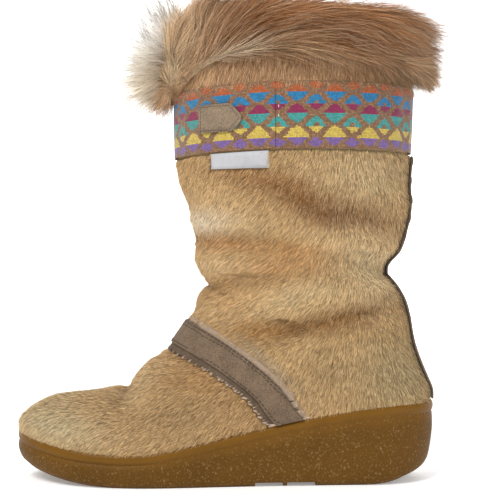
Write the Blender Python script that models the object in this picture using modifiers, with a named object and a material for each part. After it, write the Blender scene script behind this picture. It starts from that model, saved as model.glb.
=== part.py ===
"""A left fur boot: a hair-on hide upper on a rubber wedge sole, with a woven band, suede trims and a fur cuff.

Run it with: blender --background --python part.py
Tables and sizes are in millimetres, and MM turns them into metres when a mesh is made.
+Z is up, the toe points to -X and the outer (lateral) side faces -Y. The origin lies on the floor, half way
along the sole.
"""

import math
from collections import namedtuple

import bmesh
import bpy
import numpy as np
from mathutils import Matrix, Vector

MM = 0.001
GAP = 0.3  # clearance between two pieces that touch on the real boot
FOOT_GAP = 0.4  # the same under the upper's curved edge

# ---------------------------------------------------------------- driving dimensions
SOLE_LENGTH = 265.0
TOE_X = -SOLE_LENGTH / 2
HEEL_X = SOLE_LENGTH / 2
BALL_HEIGHT = 20.5  # top of the sole under the ball of the foot
HEEL_HEIGHT = 49.5  # top of the sole under the heel
TOE_SPRING = 10.5  # how far the sole's top rises to the toe
TOE_LIFT = 13.0  # how far its underside does
SOLE_LIP = 2.4  # how far the sole stands out past the upper
WALL = 4.0  # hide with its flat nap, and the fleece lining
INSOLE_THICKNESS = 3.5
COLLAR_Z = 284.0  # cut edge of the hide, inside the fur cuff
RIBBON_THICKNESS = 1.2
RIBBON_BOW = 0.055  # how far the ribbon bows up on both sides of the shaft, in rows of SECTIONS
SUEDE_THICKNESS = 1.1
LABEL_THICKNESS = 0.6

# Outline of the sole, seen from above.
Outline = namedtuple("Outline", "along centre half")
OUTLINE = [  # share of the length from the heel, middle towards the inner side, half width
    Outline(0.00, 0.0, 34.5),
    Outline(0.15, 0.0, 36.5),
    Outline(0.35, -2.5, 37.0),
    Outline(0.50, -3.5, 41.0),
    Outline(0.62, -2.5, 46.5),
    Outline(0.72, -0.5, 49.5),
    Outline(0.85, 3.0, 49.5),
    Outline(1.00, 7.0, 46.0),
]
HEEL_ROUND = 0.15  # share of the length that the round heel takes
TOE_ROUND = 0.29
END_POWER = 2.15  # 2 is an ellipse, more is squarer

# Wedge of the sole, seen from the side.
WEDGE_START_X = -45.0
WEDGE_POWER = 1.2
SPRING_START_X = -65.0
HEEL_LIFT_X = 86.0  # behind this the bottom of the heel curves up
HEEL_LIFT = 9.5
HEEL_TUCK = 5.0  # how far the bottom of the heel stands in front of its top

# Side of the sole: how far each level is drawn in, going up from the bottom and then down from the top.
Level = namedtuple("Level", "height inset")
BOTTOM_EDGE = [Level(0.0, 4.2), Level(2.0, 1.6), Level(6.0, 0.2)]
TOP_EDGE = [
    Level(11.0, 0.0),
    Level(7.6, 0.1),
    Level(6.9, 1.0),
    Level(6.1, 1.0),
    Level(5.4, 0.0),
    Level(1.6, 0.3),
    Level(0.0, 1.5),
]
SOLE_STATIONS = 32
INSOLE_STATIONS = 20

# Tread: narrow grooves across forefoot and heel, and two steps in the waist.
GROOVE_WIDTH = 3.0
GROOVE_DEPTH = 1.8
GROOVE_MARGIN = 9.0
GROOVE_PITCH = 12.0
FOREFOOT_GROOVES = (-94.0, 8)  # x of the first, and how many
HEEL_GROOVES = (68.0, 4)
Step = namedtuple("Step", "start end")
WAIST_STEPS = [Step(19.0, 36.0), Step(38.6, 56.0)]
WAIST_DEPTH = 2.4

# Sections of the upper. Each lies in a plane that runs across the boot, from a point on its front line to a
# point on its foot line. The foot line follows the sole to the back of the heel, then climbs the back seam.
# widest is the share of the way down where the section is widest, crown squares its front, and ridge leans
# its front towards the inner side.
Section = namedtuple("Section", "name front_x front_z back_x back_z belly widest crown ridge")
ON_SOLE = None  # the height comes from the top of the sole
SECTIONS = [
    Section("toe tip", -130.1, ON_SOLE, -130.1, ON_SOLE, 0.0, 0.75, 2.0, 0.0),
    Section("toe wall", -130.3, 35.5, -127.6, ON_SOLE, 14.0, 0.75, 2.0, 0.0),
    Section("toe edge", -126.6, 41.2, -121.0, ON_SOLE, 24.5, 0.75, 2.0, 0.5),
    Section("toe top", -116.0, 47.2, -111.0, ON_SOLE, 33.5, 0.76, 2.1, 1.0),
    Section("toe box", -102.5, 50.6, -99.0, ON_SOLE, 40.5, 0.77, 2.2, 2.0),
    Section("toes", -84.0, 53.3, -84.0, ON_SOLE, 45.5, 0.78, 2.2, 3.0),
    Section("joint", -70.0, 55.6, -72.0, ON_SOLE, 47.5, 0.79, 2.2, 4.0),
    Section("vamp crease", -61.5, 56.2, -60.0, ON_SOLE, 47.6, 0.80, 2.2, 4.0),
    Section("vamp rise", -56.3, 63.0, -46.0, ON_SOLE, 46.8, 0.78, 2.1, 4.0),
    Section("vamp", -48.5, 72.6, -20.0, ON_SOLE, 44.0, 0.74, 2.0, 4.0),
    Section("strap front", -38.0, 79.6, 20.0, ON_SOLE, 41.0, 0.68, 2.0, 3.5),
    Section("strap back", -19.4, 104.6, 60.0, ON_SOLE, 39.5, 0.62, 2.0, 3.0),
    Section("instep", -16.4, 115.6, 94.0, ON_SOLE, 39.0, 0.57, 2.0, 2.0),
    Section("ankle crease", -10.6, 122.6, 115.0, ON_SOLE, 39.5, 0.54, 2.0, 1.0),
    Section("heel round", -11.4, 124.8, 126.0, ON_SOLE, 40.0, 0.53, 2.0, 0.8),
    Section("heel seat", -12.8, 127.0, 130.1, ON_SOLE, 40.5, 0.52, 2.05, 0.5),
    Section("heel rim", -13.8, 129.0, 130.1, 54.5, 41.0, 0.51, 2.1, 0.2),
    Section("heel", -15.5, 131.4, 126.8, 61.5, 42.0, 0.50, 2.1, 0.0),
    Section("heel top", -17.2, 137.4, 120.1, 80.0, 42.5, 0.50, 2.1, 0.0),
    Section("ankle", -18.6, 144.0, 115.0, 101.0, 44.0, 0.50, 2.1, 0.0),
    Section("roll below notch", -19.7, 150.6, 112.0, 113.0, 45.0, 0.50, 2.1, 0.0),
    Section("back notch", -20.7, 157.4, 101.0, 128.5, 44.5, 0.50, 2.1, 0.0),
    Section("roll above notch", -21.2, 163.8, 108.4, 145.0, 46.5, 0.50, 2.1, 0.0),
    Section("calf fold", -22.0, 170.4, 115.4, 158.5, 49.0, 0.50, 2.1, 0.0),
    Section("front swell", -26.4, 180.4, 116.0, 174.0, 51.5, 0.50, 2.1, 0.0),
    Section("shaft", -29.6, 189.6, 115.9, 188.5, 52.5, 0.50, 2.1, 0.0),
    Section("ribbon foot", -30.6, 201.3, 116.8, 204.6, 53.0, 0.50, 2.1, 0.0),
    Section("ribbon head", -31.3, 241.3, 118.5, 245.0, 54.0, 0.50, 2.1, 0.0),
    Section("collar", -31.0, COLLAR_Z, 119.2, COLLAR_Z, 54.5, 0.50, 2.1, 0.0),
]
ROW = {section.name: place for place, section in enumerate(SECTIONS)}
SEAT = ROW["heel seat"]  # the last row whose foot lies on the sole
STEPS_PER_ROW = 2
POINTS_PER_SIDE = 12
UPRIGHT = (8.0, 36.0)  # heights over the sole between which the wall stops following its outline
WIDEST_SHARE = 0.55  # share of a side's points between the front line and the widest place

# Suede trims, as half widths across the strip.
STRAP_HALF = 8.3
STRAP_PINKED_HALF = 13.5
STRAP_BOW = 0.22  # how far its middle bows up, in rows of SECTIONS
STAY_HALF = 6.5
STAY_PINKED_HALF = 10.5
STRIP_LIFT = SUEDE_THICKNESS + 3 * GAP  # of a plain strip, which lies on a pinked one
TOOTH_PITCH = 6.0
TOOTH_DEPTH = 1.4

# Patches on the outer side: the height of the lower and upper edge at distances back from the patch's middle.
Edges = namedtuple("Edges", "back low high")
Patch = namedtuple("Patch", "middle_x middle_z edges")
SUEDE_TAB = Patch(
    -0.6,
    223.4,
    [
        Edges(-13.0, -8.4, 7.0),
        Edges(-10.5, -8.3, 8.6),
        Edges(5.5, -7.9, 9.0),
        Edges(8.5, -6.2, 5.9),
        Edges(12.0, -1.6, 1.8),
    ],
)
LABEL_TAB = Patch(10.0, 197.4, [Edges(-17.5, -4.4, 4.9), Edges(17.5, -4.1, 6.3)])
PATCH_PITCH = 4.5
PATCH_LIFT = 0.5  # a flat patch on a round shaft needs a little more than GAP

# The fur cuff: a row for each place round the collar, 0 at the front and 1 at the back. thick, low and top
# give its body. sweep, lift and climb give the way its hair lies: backwards, outwards and up.
Cuff = namedtuple("Cuff", "around thick low top sweep lift climb reach")
CUFF = [
    Cuff(0.00, 21.0, 231.0, 291.0, 0.0, 1.0, 0.20, 0.75),
    Cuff(0.14, 18.0, 235.0, 293.0, 0.5, 0.9, 0.40, 0.85),
    Cuff(0.32, 10.5, 255.0, 295.0, 1.0, 0.28, 0.45, 1.0),
    Cuff(0.60, 9.5, 259.0, 296.0, 1.0, 0.22, 0.10, 1.0),
    Cuff(0.85, 10.5, 254.0, 295.0, 1.0, 0.35, -0.10, 0.8),
    Cuff(1.00, 11.0, 248.0, 293.0, 0.4, 0.7, -0.25, 0.55),
]
CUFF_CLEAR = 2 * GAP + RIBBON_THICKNESS  # stands clear of the woven band
CUFF_INSIDE = 13.0  # how far the fur reaches down inside the collar
LOCK_ROOT = 3.0  # how far a lock's root is sunk into the cuff
Lock = namedtuple("Lock", "rise count shift length width droop")
LOCKS = [  # rows of locks up the cuff
    Lock(0.12, 15, 0.0, 23.0, 7.0, 0.30),
    Lock(0.37, 16, 0.5, 27.0, 8.0, 0.15),
    Lock(0.64, 16, 0.0, 27.0, 8.0, 0.05),
    Lock(0.86, 15, 0.5, 23.0, 7.0, 0.0),
]

COLOURS = {  # colour, roughness
    "rubber": ((0.20, 0.115, 0.035), 0.55),
    "hide": ((0.47, 0.33, 0.18), 0.85),
    "fur": ((0.42, 0.25, 0.13), 0.9),
    "ribbon": ((0.30, 0.18, 0.10), 0.9),
    "suede": ((0.22, 0.16, 0.12), 0.95),
    "label": ((0.75, 0.76, 0.78), 0.8),
    "felt": ((0.55, 0.50, 0.42), 0.95),
}


# ---------------------------------------------------------------- helpers
def along_table(places, values, at):
    """Value at a place between the rows of a table, on a smooth curve that never overshoots a row."""
    places = np.asarray(places, float)
    values = np.asarray(values, float)
    steps = np.diff(places)
    slopes = np.diff(values) / steps
    tangents = np.zeros(len(values))
    tangents[0], tangents[-1] = slopes[0], slopes[-1]
    for k in range(1, len(slopes)):
        if slopes[k - 1] * slopes[k] > 0:
            tangents[k] = 2 * slopes[k - 1] * slopes[k] / (slopes[k - 1] + slopes[k])
    k = int(np.clip(np.searchsorted(places, at) - 1, 0, len(steps) - 1))
    t = min(max((at - places[k]) / steps[k], 0.0), 1.0)
    height = (1 + 2 * t) * (1 - t) ** 2 * values[k] + t * t * (3 - 2 * t) * values[k + 1]
    lean = t * (1 - t) ** 2 * tangents[k] - t * t * (1 - t) * tangents[k + 1]
    return height + steps[k] * lean


def table_column(rows, place_name, value_name, at):
    """Value of one named column of a table of named rows, at a place."""
    places = [getattr(row, place_name) for row in rows]
    return along_table(places, [getattr(row, value_name) for row in rows], at)


def past(x, start, end):
    """0 before start, then the share of the way to end."""
    return min(max((x - start) / (end - start), 0.0), 1.0)


def unit(vector):
    return vector / max(np.linalg.norm(vector), 1e-9)


def material(name):
    """The Principled material of this name, made once."""
    made = bpy.data.materials.get(name)
    if made is None:
        colour, roughness = COLOURS[name]
        made = bpy.data.materials.new(name)
        made.use_nodes = True
        shader = made.node_tree.nodes["Principled BSDF"]
        shader.inputs["Base Color"].default_value = (*colour, 1.0)
        shader.inputs["Roughness"].default_value = roughness
        shader.inputs["Metallic"].default_value = 0.0
        made.diffuse_color = (*colour, 1.0)
    return made


def mesh_object(name, points, faces, finish, collection, is_solid=True):
    """An object from points in millimetres and faces. Points that coincide become one."""
    mesh = bpy.data.meshes.new(name)
    mesh.from_pydata([tuple(np.asarray(point) * MM) for point in points], [], faces)
    work = bmesh.new()
    work.from_mesh(mesh)
    bmesh.ops.remove_doubles(work, verts=work.verts, dist=0.002 * MM)
    if is_solid:
        bmesh.ops.recalc_face_normals(work, faces=work.faces)
    work.to_mesh(mesh)
    work.free()
    mesh.shade_smooth()
    mesh.set_sharp_from_angle(angle=math.radians(50))
    mesh.materials.append(material(finish))
    made = bpy.data.objects.new(name, mesh)
    collection.objects.link(made)
    return made


def grid_faces(rows, columns, closed=False):
    """Faces between rows of points, facing along row direction x column direction.

    A closed grid joins its last column to its first.
    """
    faces = []
    for row in range(rows - 1):
        for column in range(columns if closed else columns - 1):
            after = (column + 1) % columns
            near, far = row * columns, (row + 1) * columns
            faces.append([near + column, far + column, far + after, near + after])
    return faces


def sheet(name, grid, thickness, finish, collection, closed=False):
    """A sheet through a grid of points, thickened outwards, or inwards for a thickness below 0."""
    points = [point for row in grid for point in row]
    faces = grid_faces(len(grid), len(grid[0]), closed)
    made = mesh_object(name, points, faces, finish, collection, is_solid=False)
    wall = made.modifiers.new("wall", "SOLIDIFY")
    wall.thickness = abs(thickness) * MM
    wall.offset = math.copysign(1.0, thickness)
    wall.use_even_offset = False


# ---------------------------------------------------------------- the sole's lines
def outline_at(x, inset=0.0):
    """(middle, half width) of the sole's outline at x, for an outline drawn in by inset."""
    length = SOLE_LENGTH - 2 * inset
    along = min(max((HEEL_X - inset - x) / length, 0.0), 1.0)
    middle = table_column(OUTLINE, "along", "centre", along)
    half = table_column(OUTLINE, "along", "half", along) - inset
    past_heel = max(1 - along / HEEL_ROUND, 0.0)
    past_toe = max((along - 1 + TOE_ROUND) / TOE_ROUND, 0.0)
    rounding = max(1 - past_heel**END_POWER - past_toe**END_POWER, 0.0) ** (1 / END_POWER)
    return middle, half * rounding


def sole_top(x):
    """Height of the sole's top, where the upper stands on it."""
    wedge = math.sin(math.pi / 2 * past(x, WEDGE_START_X, HEEL_X)) ** WEDGE_POWER
    spring = past(x, SPRING_START_X, TOE_X)
    return BALL_HEIGHT + (HEEL_HEIGHT - BALL_HEIGHT) * wedge + TOE_SPRING * spring**2


def sole_bottom(x):
    """Height of the sole's underside: flat under ball and heel, and curved up at both ends."""
    return TOE_LIFT * past(x, SPRING_START_X, TOE_X) ** 2 + HEEL_LIFT * past(x, HEEL_LIFT_X, HEEL_X) ** 2


def outline_rows(inset, stations):
    """(x, outer y, inner y) at stations from heel to toe, closer together at both round ends."""
    rows = []
    for k in range(stations + 1):
        share = (1 - math.cos(math.pi * k / stations)) / 2
        x = HEEL_X - inset - (SOLE_LENGTH - 2 * inset) * share
        middle, half = outline_at(x, inset)
        rows.append((x, middle - half, middle + half))
    return rows


def sole_ring(inset, height):
    """One level of the sole: up its outer side from heel to toe, and back down the inner side."""
    rows = outline_rows(inset, SOLE_STATIONS)
    outer = [np.array([x, low, height(x)]) for x, low, _ in rows]
    inner = [np.array([x, high, height(x)]) for x, _, high in rows]
    return outer + inner[-2:0:-1]


def ladder_faces(base, count):
    """Strips straight across a ring of points, from its outer side to its inner side."""
    faces = []
    for k in range(SOLE_STATIONS):
        corners = [base + k, base + k + 1, base + (count - k - 1) % count, base + (count - k) % count]
        faces.append(list(dict.fromkeys(corners)))
    return faces


# ---------------------------------------------------------------- the upper's own function
class Upper:
    """The outer face of the upper, as a grid of points and normals over section rows and places round it.

    A row counts along SECTIONS. A place runs from -1 at the back on the outer side, over 0 at the front, to 1.
    """

    def __init__(self):
        self.rows = np.linspace(0, len(SECTIONS) - 1, (len(SECTIONS) - 1) * STEPS_PER_ROW + 1)
        self.places = np.linspace(-1, 1, 2 * POINTS_PER_SIDE + 1)
        self.points = np.array([[self.form(row, place) for place in self.places] for row in self.rows])
        self.normals = np.array([[self.normal_at(row, place) for place in self.places] for row in self.rows])

    @staticmethod
    def column(name, row):
        """One column of SECTIONS at a row, with heights on the sole filled in."""
        seat_z = sole_top(SECTIONS[SEAT].back_x) + FOOT_GAP
        values = [seat_z if getattr(section, name) is ON_SOLE else getattr(section, name) for section in SECTIONS]
        if name == "front_z":
            values[0] = sole_top(SECTIONS[0].front_x) + FOOT_GAP
        return along_table(range(len(SECTIONS)), values, row)

    def foot_point(self, row):
        """(x, z) of the foot line: on the sole as far as the heel seat, then up the back seam."""
        x = self.column("back_x", row)
        return x, sole_top(x) + FOOT_GAP if row <= SEAT else self.column("back_z", row)

    def form(self, row, place):
        """Point of the outer face."""
        foot_x, foot_z = self.foot_point(row)
        front_x, front_z = self.column("front_x", row), self.column("front_z", row)
        middle, foot_half = outline_at(foot_x, SOLE_LIP) if row <= SEAT else (0.0, 0.0)
        half = max(self.column("belly", row), 1.003 * foot_half)
        widest, crown = self.column("widest", row), self.column("crown", row)
        end = foot_half / half if half > 0 else 1.0
        share = abs(place)
        if share < WIDEST_SHARE:
            angle = math.pi / 2 * share / WIDEST_SHARE
            down = widest * (1 - math.cos(angle) ** (2 / crown))
            out = math.sin(angle) ** (2 / crown)
        else:
            last = math.acos(end)
            part = (share - WIDEST_SHARE) / (1 - WIDEST_SHARE)
            deep = math.sin(last * part) / math.sin(last) if last > 1e-4 else part
            down = widest + (1 - widest) * deep
            out = math.sqrt(max(1 - (1 - end * end) * deep * deep, 0.0))
        x = front_x + (foot_x - front_x) * down
        z = front_z + (foot_z - front_z) * down
        behind = HEEL_X - SOLE_LIP - foot_x if row > SEAT else 0.0
        upright = outline_at(x + behind, SOLE_LIP)[1] * (1 - past(z - sole_top(x), *UPRIGHT))
        lean = self.column("ridge", row) * (1 - down) ** 2
        return np.array([x, middle + lean + math.copysign(max(half * out, upright), place), z])

    def normal_at(self, row, place):
        """Outward normal, from points a little way off on each side."""
        if row == 0:
            return np.array([-1.0, 0.0, 0.0])
        step = 0.02
        if abs(place) > 1 - step and row > SEAT:  # on the back seam, across both sides
            left, right = self.form(row, 1 - step), self.form(row, step - 1)
        else:
            left, right = self.form(row, max(place - step, -1)), self.form(row, min(place + step, 1))
        low, high = max(row - 5 * step, 0.04), min(row + 5 * step, len(SECTIONS) - 1)
        normal = unit(np.cross(self.form(high, place) - self.form(low, place), right - left))
        if row <= SEAT and abs(place) > 0.999:
            normal = unit(np.array([normal[0], normal[1], 0.0]))
        return normal

    def skin(self, row, place, lift):
        """A point at that lift over the faceted outer face, so that an overlay follows its facets."""
        column = (place + 1) * POINTS_PER_SIDE
        line = row * STEPS_PER_ROW
        i = int(min(max(math.floor(line), 0), len(self.rows) - 2))
        j = int(min(max(math.floor(column), 0), len(self.places) - 2))
        u, w = line - i, column - j
        corners = self.points[i : i + 2, j : j + 2] + lift * self.normals[i : i + 2, j : j + 2]
        low = corners[0, 0] * (1 - w) + corners[0, 1] * w
        high = corners[1, 0] * (1 - w) + corners[1, 1] * w
        return low * (1 - u) + high * u

    def outer_side(self, x, z):
        """(row, place) of the shaft's outer side at that x and z."""
        row, place = ROW["ribbon foot"] + 0.5, -0.5
        for _ in range(40):
            here = self.skin(row, place, 0.0)
            row += (z - here[2]) / 45.0
            place -= (x - here[0]) / 180.0
        return row, place


# ---------------------------------------------------------------- sole and insole
def make_outsole(collection, cutters):
    """The moulded wedge: bottom edge, side with a groove under its lip, top, and the tread."""
    rings = []
    for level in BOTTOM_EDGE:
        ring = sole_ring(level.inset, lambda x, rise=level.height: sole_bottom(x) + rise)
        tuck = HEEL_TUCK * (1 - level.height / (2 * BOTTOM_EDGE[-1].height))
        for point in ring:
            point[0] -= tuck * past(point[0], HEEL_LIFT_X, HEEL_X)
        rings.append(ring)
    for level in TOP_EDGE:
        rings.append(sole_ring(level.inset, lambda x, drop=level.height: sole_top(x) - drop))
    count = len(rings[0])
    faces = grid_faces(len(rings), count, closed=True)
    faces += ladder_faces(0, count) + ladder_faces((len(rings) - 1) * count, count)
    sole = mesh_object("outsole", [point for ring in rings for point in ring], faces, "rubber", collection)
    cuts = []
    for first, how_many in (FOREFOOT_GROOVES, HEEL_GROOVES):
        for k in range(how_many):
            x = first + k * GROOVE_PITCH
            middle, half = outline_at(x)
            reach = half - GROOVE_MARGIN
            low, high = middle - reach, middle + reach
            cuts.append((x - GROOVE_WIDTH / 2, x + GROOVE_WIDTH / 2, low, high, sole_bottom(x) + GROOVE_DEPTH))
    for step in WAIST_STEPS:
        cuts.append((step.start, step.end, -80.0, 80.0, WAIST_DEPTH))
    for number, cut in enumerate(cuts):
        cut_box(f"tread_cutter_{number}", sole, *cut, cutters)


def cut_box(name, target, start, end, low, high, top, cutters):
    """Cuts a box, from under the floor up to a height, out of the target."""
    depth = top + 10.0
    place = Matrix.Translation(Vector(((start + end) / 2, (low + high) / 2, top - depth / 2)) * MM)
    size = Matrix.Diagonal(Vector((end - start, high - low, depth, 1000.0)) * MM)
    mesh = bpy.data.meshes.new(name)
    work = bmesh.new()
    bmesh.ops.create_cube(work, size=1.0, matrix=place @ size)
    work.to_mesh(mesh)
    work.free()
    cutter = add_cutter(name, mesh, cutters)
    cut = target.modifiers.new(name, "BOOLEAN")
    cut.operation = "DIFFERENCE"
    cut.object = cutter


def add_cutter(name, mesh, cutters):
    cutter = bpy.data.objects.new(name, mesh)
    cutter.hide_render = True
    cutter.display_type = "WIRE"
    cutters.objects.link(cutter)
    return cutter


def make_insole(collection):
    """The footbed, on the sole and inside the upper's wall."""
    rows = outline_rows(SOLE_LIP + WALL + 1.4, INSOLE_STATIONS)
    grid = []
    for x, low, high in rows:
        grid.append([np.array([x, y, sole_top(x) + GAP]) for y in (high, low)])
    sheet("insole", grid, INSOLE_THICKNESS, "felt", collection)


# ---------------------------------------------------------------- the upper and its trims
def make_upper(upper, collection):
    """The hide upper: one hollow wall, open at the collar and underneath, closed down its back seam."""
    sheet("upper", upper.points, -WALL, "hide", collection)


def make_ribbon(upper, collection):
    """The woven band round the shaft."""
    rows = np.linspace(ROW["ribbon foot"], ROW["ribbon head"], STEPS_PER_ROW + 1)
    bows = [RIBBON_BOW * math.sin(math.pi * place) ** 2 for place in upper.places[:-1]]
    grid = [[upper.skin(row + bow, place, GAP) for place, bow in zip(upper.places, bows)] for row in rows]
    sheet("woven_band", grid, RIBBON_THICKNESS, "ribbon", collection, closed=True)


def teeth_along(line):
    """Shares along a line of points at each tooth's tip and root, all the same way apart."""
    reached = np.concatenate([[0.0], np.cumsum(np.linalg.norm(np.diff(line, axis=0), axis=1))])
    count = 2 * round(reached[-1] / TOOTH_PITCH)
    return np.interp(np.linspace(0, reached[-1], count + 1), reached, np.linspace(0, 1, len(line)))


def strip_grid(stations, across, half, tooth=0.0):
    """Points across a strip at its stations. Its edges go in by a tooth at every other station."""
    grid = []
    for number, station in enumerate(stations):
        reach = half - tooth * (number % 2)
        grid.append([across(station, distance) for distance in (reach, 0.0, -reach)])
    return grid


def make_instep_strap(upper, collection):
    """The suede strip over the seam of vamp and shaft: a pinked under-strip and a plain one on it."""
    front, back = ROW["strap front"], ROW["strap back"]
    middle = (front + back) / 2

    def laid_at(lift):
        def across(place, distance):
            width = np.linalg.norm(upper.skin(back, place, lift) - upper.skin(front, place, lift))
            row = middle + STRAP_BOW * math.sin(math.pi * place) ** 2 + (back - front) * distance / width
            return upper.skin(row, place, lift)

        return across

    teeth = teeth_along([upper.skin(middle, place, 0.0) for place in np.linspace(-1, 1, 200)])
    pinked = strip_grid([2 * share - 1 for share in teeth], laid_at(GAP), STRAP_PINKED_HALF, TOOTH_DEPTH)
    sheet("instep_strap_pinked", pinked, SUEDE_THICKNESS, "suede", collection)
    plain = strip_grid(upper.places, laid_at(STRIP_LIFT), STRAP_HALF)
    sheet("instep_strap", plain, SUEDE_THICKNESS, "suede", collection)


def make_back_stay(upper, collection):
    """The suede strip up the back seam, from the sole to the woven band."""
    low, high = SEAT + 0.04, ROW["ribbon foot"] - 0.06

    def laid_at(lift):
        def across(row, distance):
            side = math.copysign(1.0, distance)
            tried = [upper.skin(row, side * place, lift) for place in np.linspace(1.0, 0.7, 31)]
            reached = np.concatenate([[0.0], np.cumsum(np.linalg.norm(np.diff(tried, axis=0), axis=1))])
            return upper.skin(row, side * np.interp(abs(distance), reached, np.linspace(1.0, 0.7, 31)), lift)

        return across

    teeth = low + (high - low) * teeth_along([upper.skin(row, 1.0, 0.0) for row in np.linspace(low, high, 200)])
    pinked = strip_grid(teeth, laid_at(GAP), STAY_PINKED_HALF, TOOTH_DEPTH)
    sheet("back_stay_pinked", pinked, SUEDE_THICKNESS, "suede", collection)
    stations = np.linspace(low, high, (ROW["ribbon foot"] - SEAT) * STEPS_PER_ROW + 1)
    plain = strip_grid(stations, laid_at(STRIP_LIFT), STAY_HALF)
    sheet("back_stay", plain, SUEDE_THICKNESS, "suede", collection)


def make_patch(name, upper, patch, lift, thickness, finish, collection):
    """A thin patch that lies on the shaft's outer side."""
    first, last = patch.edges[0].back, patch.edges[-1].back
    stations = [edges.back for edges in patch.edges]
    stations += list(np.linspace(first, last, round((last - first) / PATCH_PITCH) + 1)[1:-1])
    grid = []
    for back in sorted(stations):
        low = table_column(patch.edges, "back", "low", back)
        high = table_column(patch.edges, "back", "high", back)
        places = [upper.outer_side(patch.middle_x + back, patch.middle_z + up) for up in (low, high)]
        grid.append([upper.skin(row, place, lift) for row, place in places])
    sheet(name, grid, thickness, finish, collection)


# ---------------------------------------------------------------- the fur cuff
def cuff_row(place):
    """The cuff's row for a place, read between the rows of its table."""
    around = abs(place)
    return Cuff(around, *(table_column(CUFF, "around", name, around) for name in Cuff._fields[1:]))


def cuff_point(upper, place, out, z):
    """A point at a height, and at a distance out from the hide's outer face."""
    point = upper.skin(ROW["collar"] - max(COLLAR_Z - z, 0.0) / 41.0, place, out)
    point[2] = z
    return point


def cuff_profile(upper, place):
    """Points round the cuff's section at a place: up its outer face, over the collar and down inside."""
    cuff = cuff_row(place)
    tall = cuff.top - cuff.low
    outline = [
        (CUFF_CLEAR, cuff.low + 2.0),
        (0.55 * cuff.thick, cuff.low),
        (0.90 * cuff.thick, cuff.low + 0.15 * tall),
        (cuff.thick, cuff.low + 0.42 * tall),
        (0.95 * cuff.thick, cuff.low + 0.68 * tall),
        (0.70 * cuff.thick, cuff.low + 0.88 * tall),
        (0.20 * cuff.thick, cuff.top),
        (-WALL - 5.0, cuff.top - 2.5),
        (-WALL - 8.5, COLLAR_Z),
        (-WALL - 4.0, COLLAR_Z - CUFF_INSIDE),
        (-WALL - GAP, COLLAR_Z - CUFF_INSIDE + 2.0),
        (-WALL - GAP, COLLAR_Z + GAP),
        (GAP, COLLAR_Z + GAP),
        (CUFF_CLEAR, COLLAR_Z - 2.0),
    ]
    return [cuff_point(upper, place, out, z) for out, z in outline]


def lock_path(upper, lock, place, number):
    """Middle line of one lock, from inside the cuff to its tip."""
    cuff = cuff_row(place)
    z = cuff.low + lock.rise * (cuff.top - cuff.low)
    out = cuff.thick * (1 - 0.45 * (2 * lock.rise - 0.9) ** 2)
    skin = cuff_point(upper, place, out, z)
    outward = unit(skin - cuff_point(upper, place, 0.0, z))
    backward = unit(cuff_point(upper, place + math.copysign(0.02, place), out, z) - skin)
    up = np.array([0.0, 0.0, 1.0])
    sweep = cuff.sweep + 0.2 * math.sin(2.4 * number)
    heading = unit(sweep * backward + cuff.lift * outward + cuff.climb * up)
    length = lock.length * cuff.reach * (1 + 0.15 * math.sin(3.7 * number))
    root = skin - LOCK_ROOT * outward
    return [root + length * (share * heading - lock.droop * share**2 * up) for share in (0.0, 0.55, 1.0)]


def lock_mesh(paths):
    """One mesh of tapered locks, each four-sided, wide along the skin and thin away from it."""
    work = bmesh.new()
    for path, width in paths:
        along = unit(path[1] - path[0])
        sideways = unit(np.cross(along, [0.0, 0.0, 1.0]))
        flat = unit(np.cross(sideways, along))
        rings = []
        for point, share in zip(path[:-1], (1.0, 0.75)):
            offsets = [flat * width, sideways * width / 2, -flat * width, -sideways * width / 2]
            rings.append([work.verts.new((point + share * offset) * MM) for offset in offsets])
        tip = work.verts.new(path[-1] * MM)
        for near, far in zip(rings, rings[1:]):
            for k in range(4):
                work.faces.new([near[k], near[(k + 1) % 4], far[(k + 1) % 4], far[k]])
        for k in range(4):
            work.faces.new([rings[-1][k], rings[-1][(k + 1) % 4], tip])
        work.faces.new(rings[0][::-1])
    bmesh.ops.recalc_face_normals(work, faces=work.faces)
    mesh = bpy.data.meshes.new("fur_locks")
    work.to_mesh(mesh)
    work.free()
    return mesh


def fill_pockets(made):
    """Applies an object's modifiers and keeps only its outer shell, which fills any sealed pocket."""
    mesh = bpy.data.meshes.new_from_object(made.evaluated_get(bpy.context.evaluated_depsgraph_get()))
    work = bmesh.new()
    work.from_mesh(mesh)
    shells, left = [], set(work.verts)
    while left:
        shell, front = set(), [left.pop()]
        while front:
            vert = front.pop()
            shell.add(vert)
            front += [other for edge in vert.link_edges for other in [edge.other_vert(vert)] if other in left]
            left -= set(front)
        shells.append(shell)
    outer = max(shells, key=len)
    bmesh.ops.delete(work, geom=[vert for vert in work.verts if vert not in outer], context="VERTS")
    work.to_mesh(mesh)
    work.free()
    made.modifiers.clear()
    made.data = mesh


def make_cuff(upper, collection, cutters):
    """The fur round the collar: a ring that saddles the cut edge, with its locks joined on."""
    profiles = [cuff_profile(upper, place) for place in upper.places[:-1]]
    profiles.append(profiles[0])
    points = [point for profile in profiles for point in profile]
    faces = grid_faces(len(profiles), len(profiles[0]), closed=True)
    ring = mesh_object("fur_cuff", points, faces, "fur", collection)
    paths = []
    for lock in LOCKS:
        for k in range(lock.count):
            place = 2 * (k + lock.shift) / lock.count - 1
            paths.append((lock_path(upper, lock, place, len(paths)), lock.width))
    join = ring.modifiers.new("locks", "BOOLEAN")
    join.operation = "UNION"
    join.use_self = True
    join.object = add_cutter("fur_locks", lock_mesh(paths), cutters)
    fill_pockets(ring)


# ---------------------------------------------------------------- the boot
def collection_named(name):
    made = bpy.data.collections.new(name)
    bpy.context.scene.collection.children.link(made)
    return made


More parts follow.
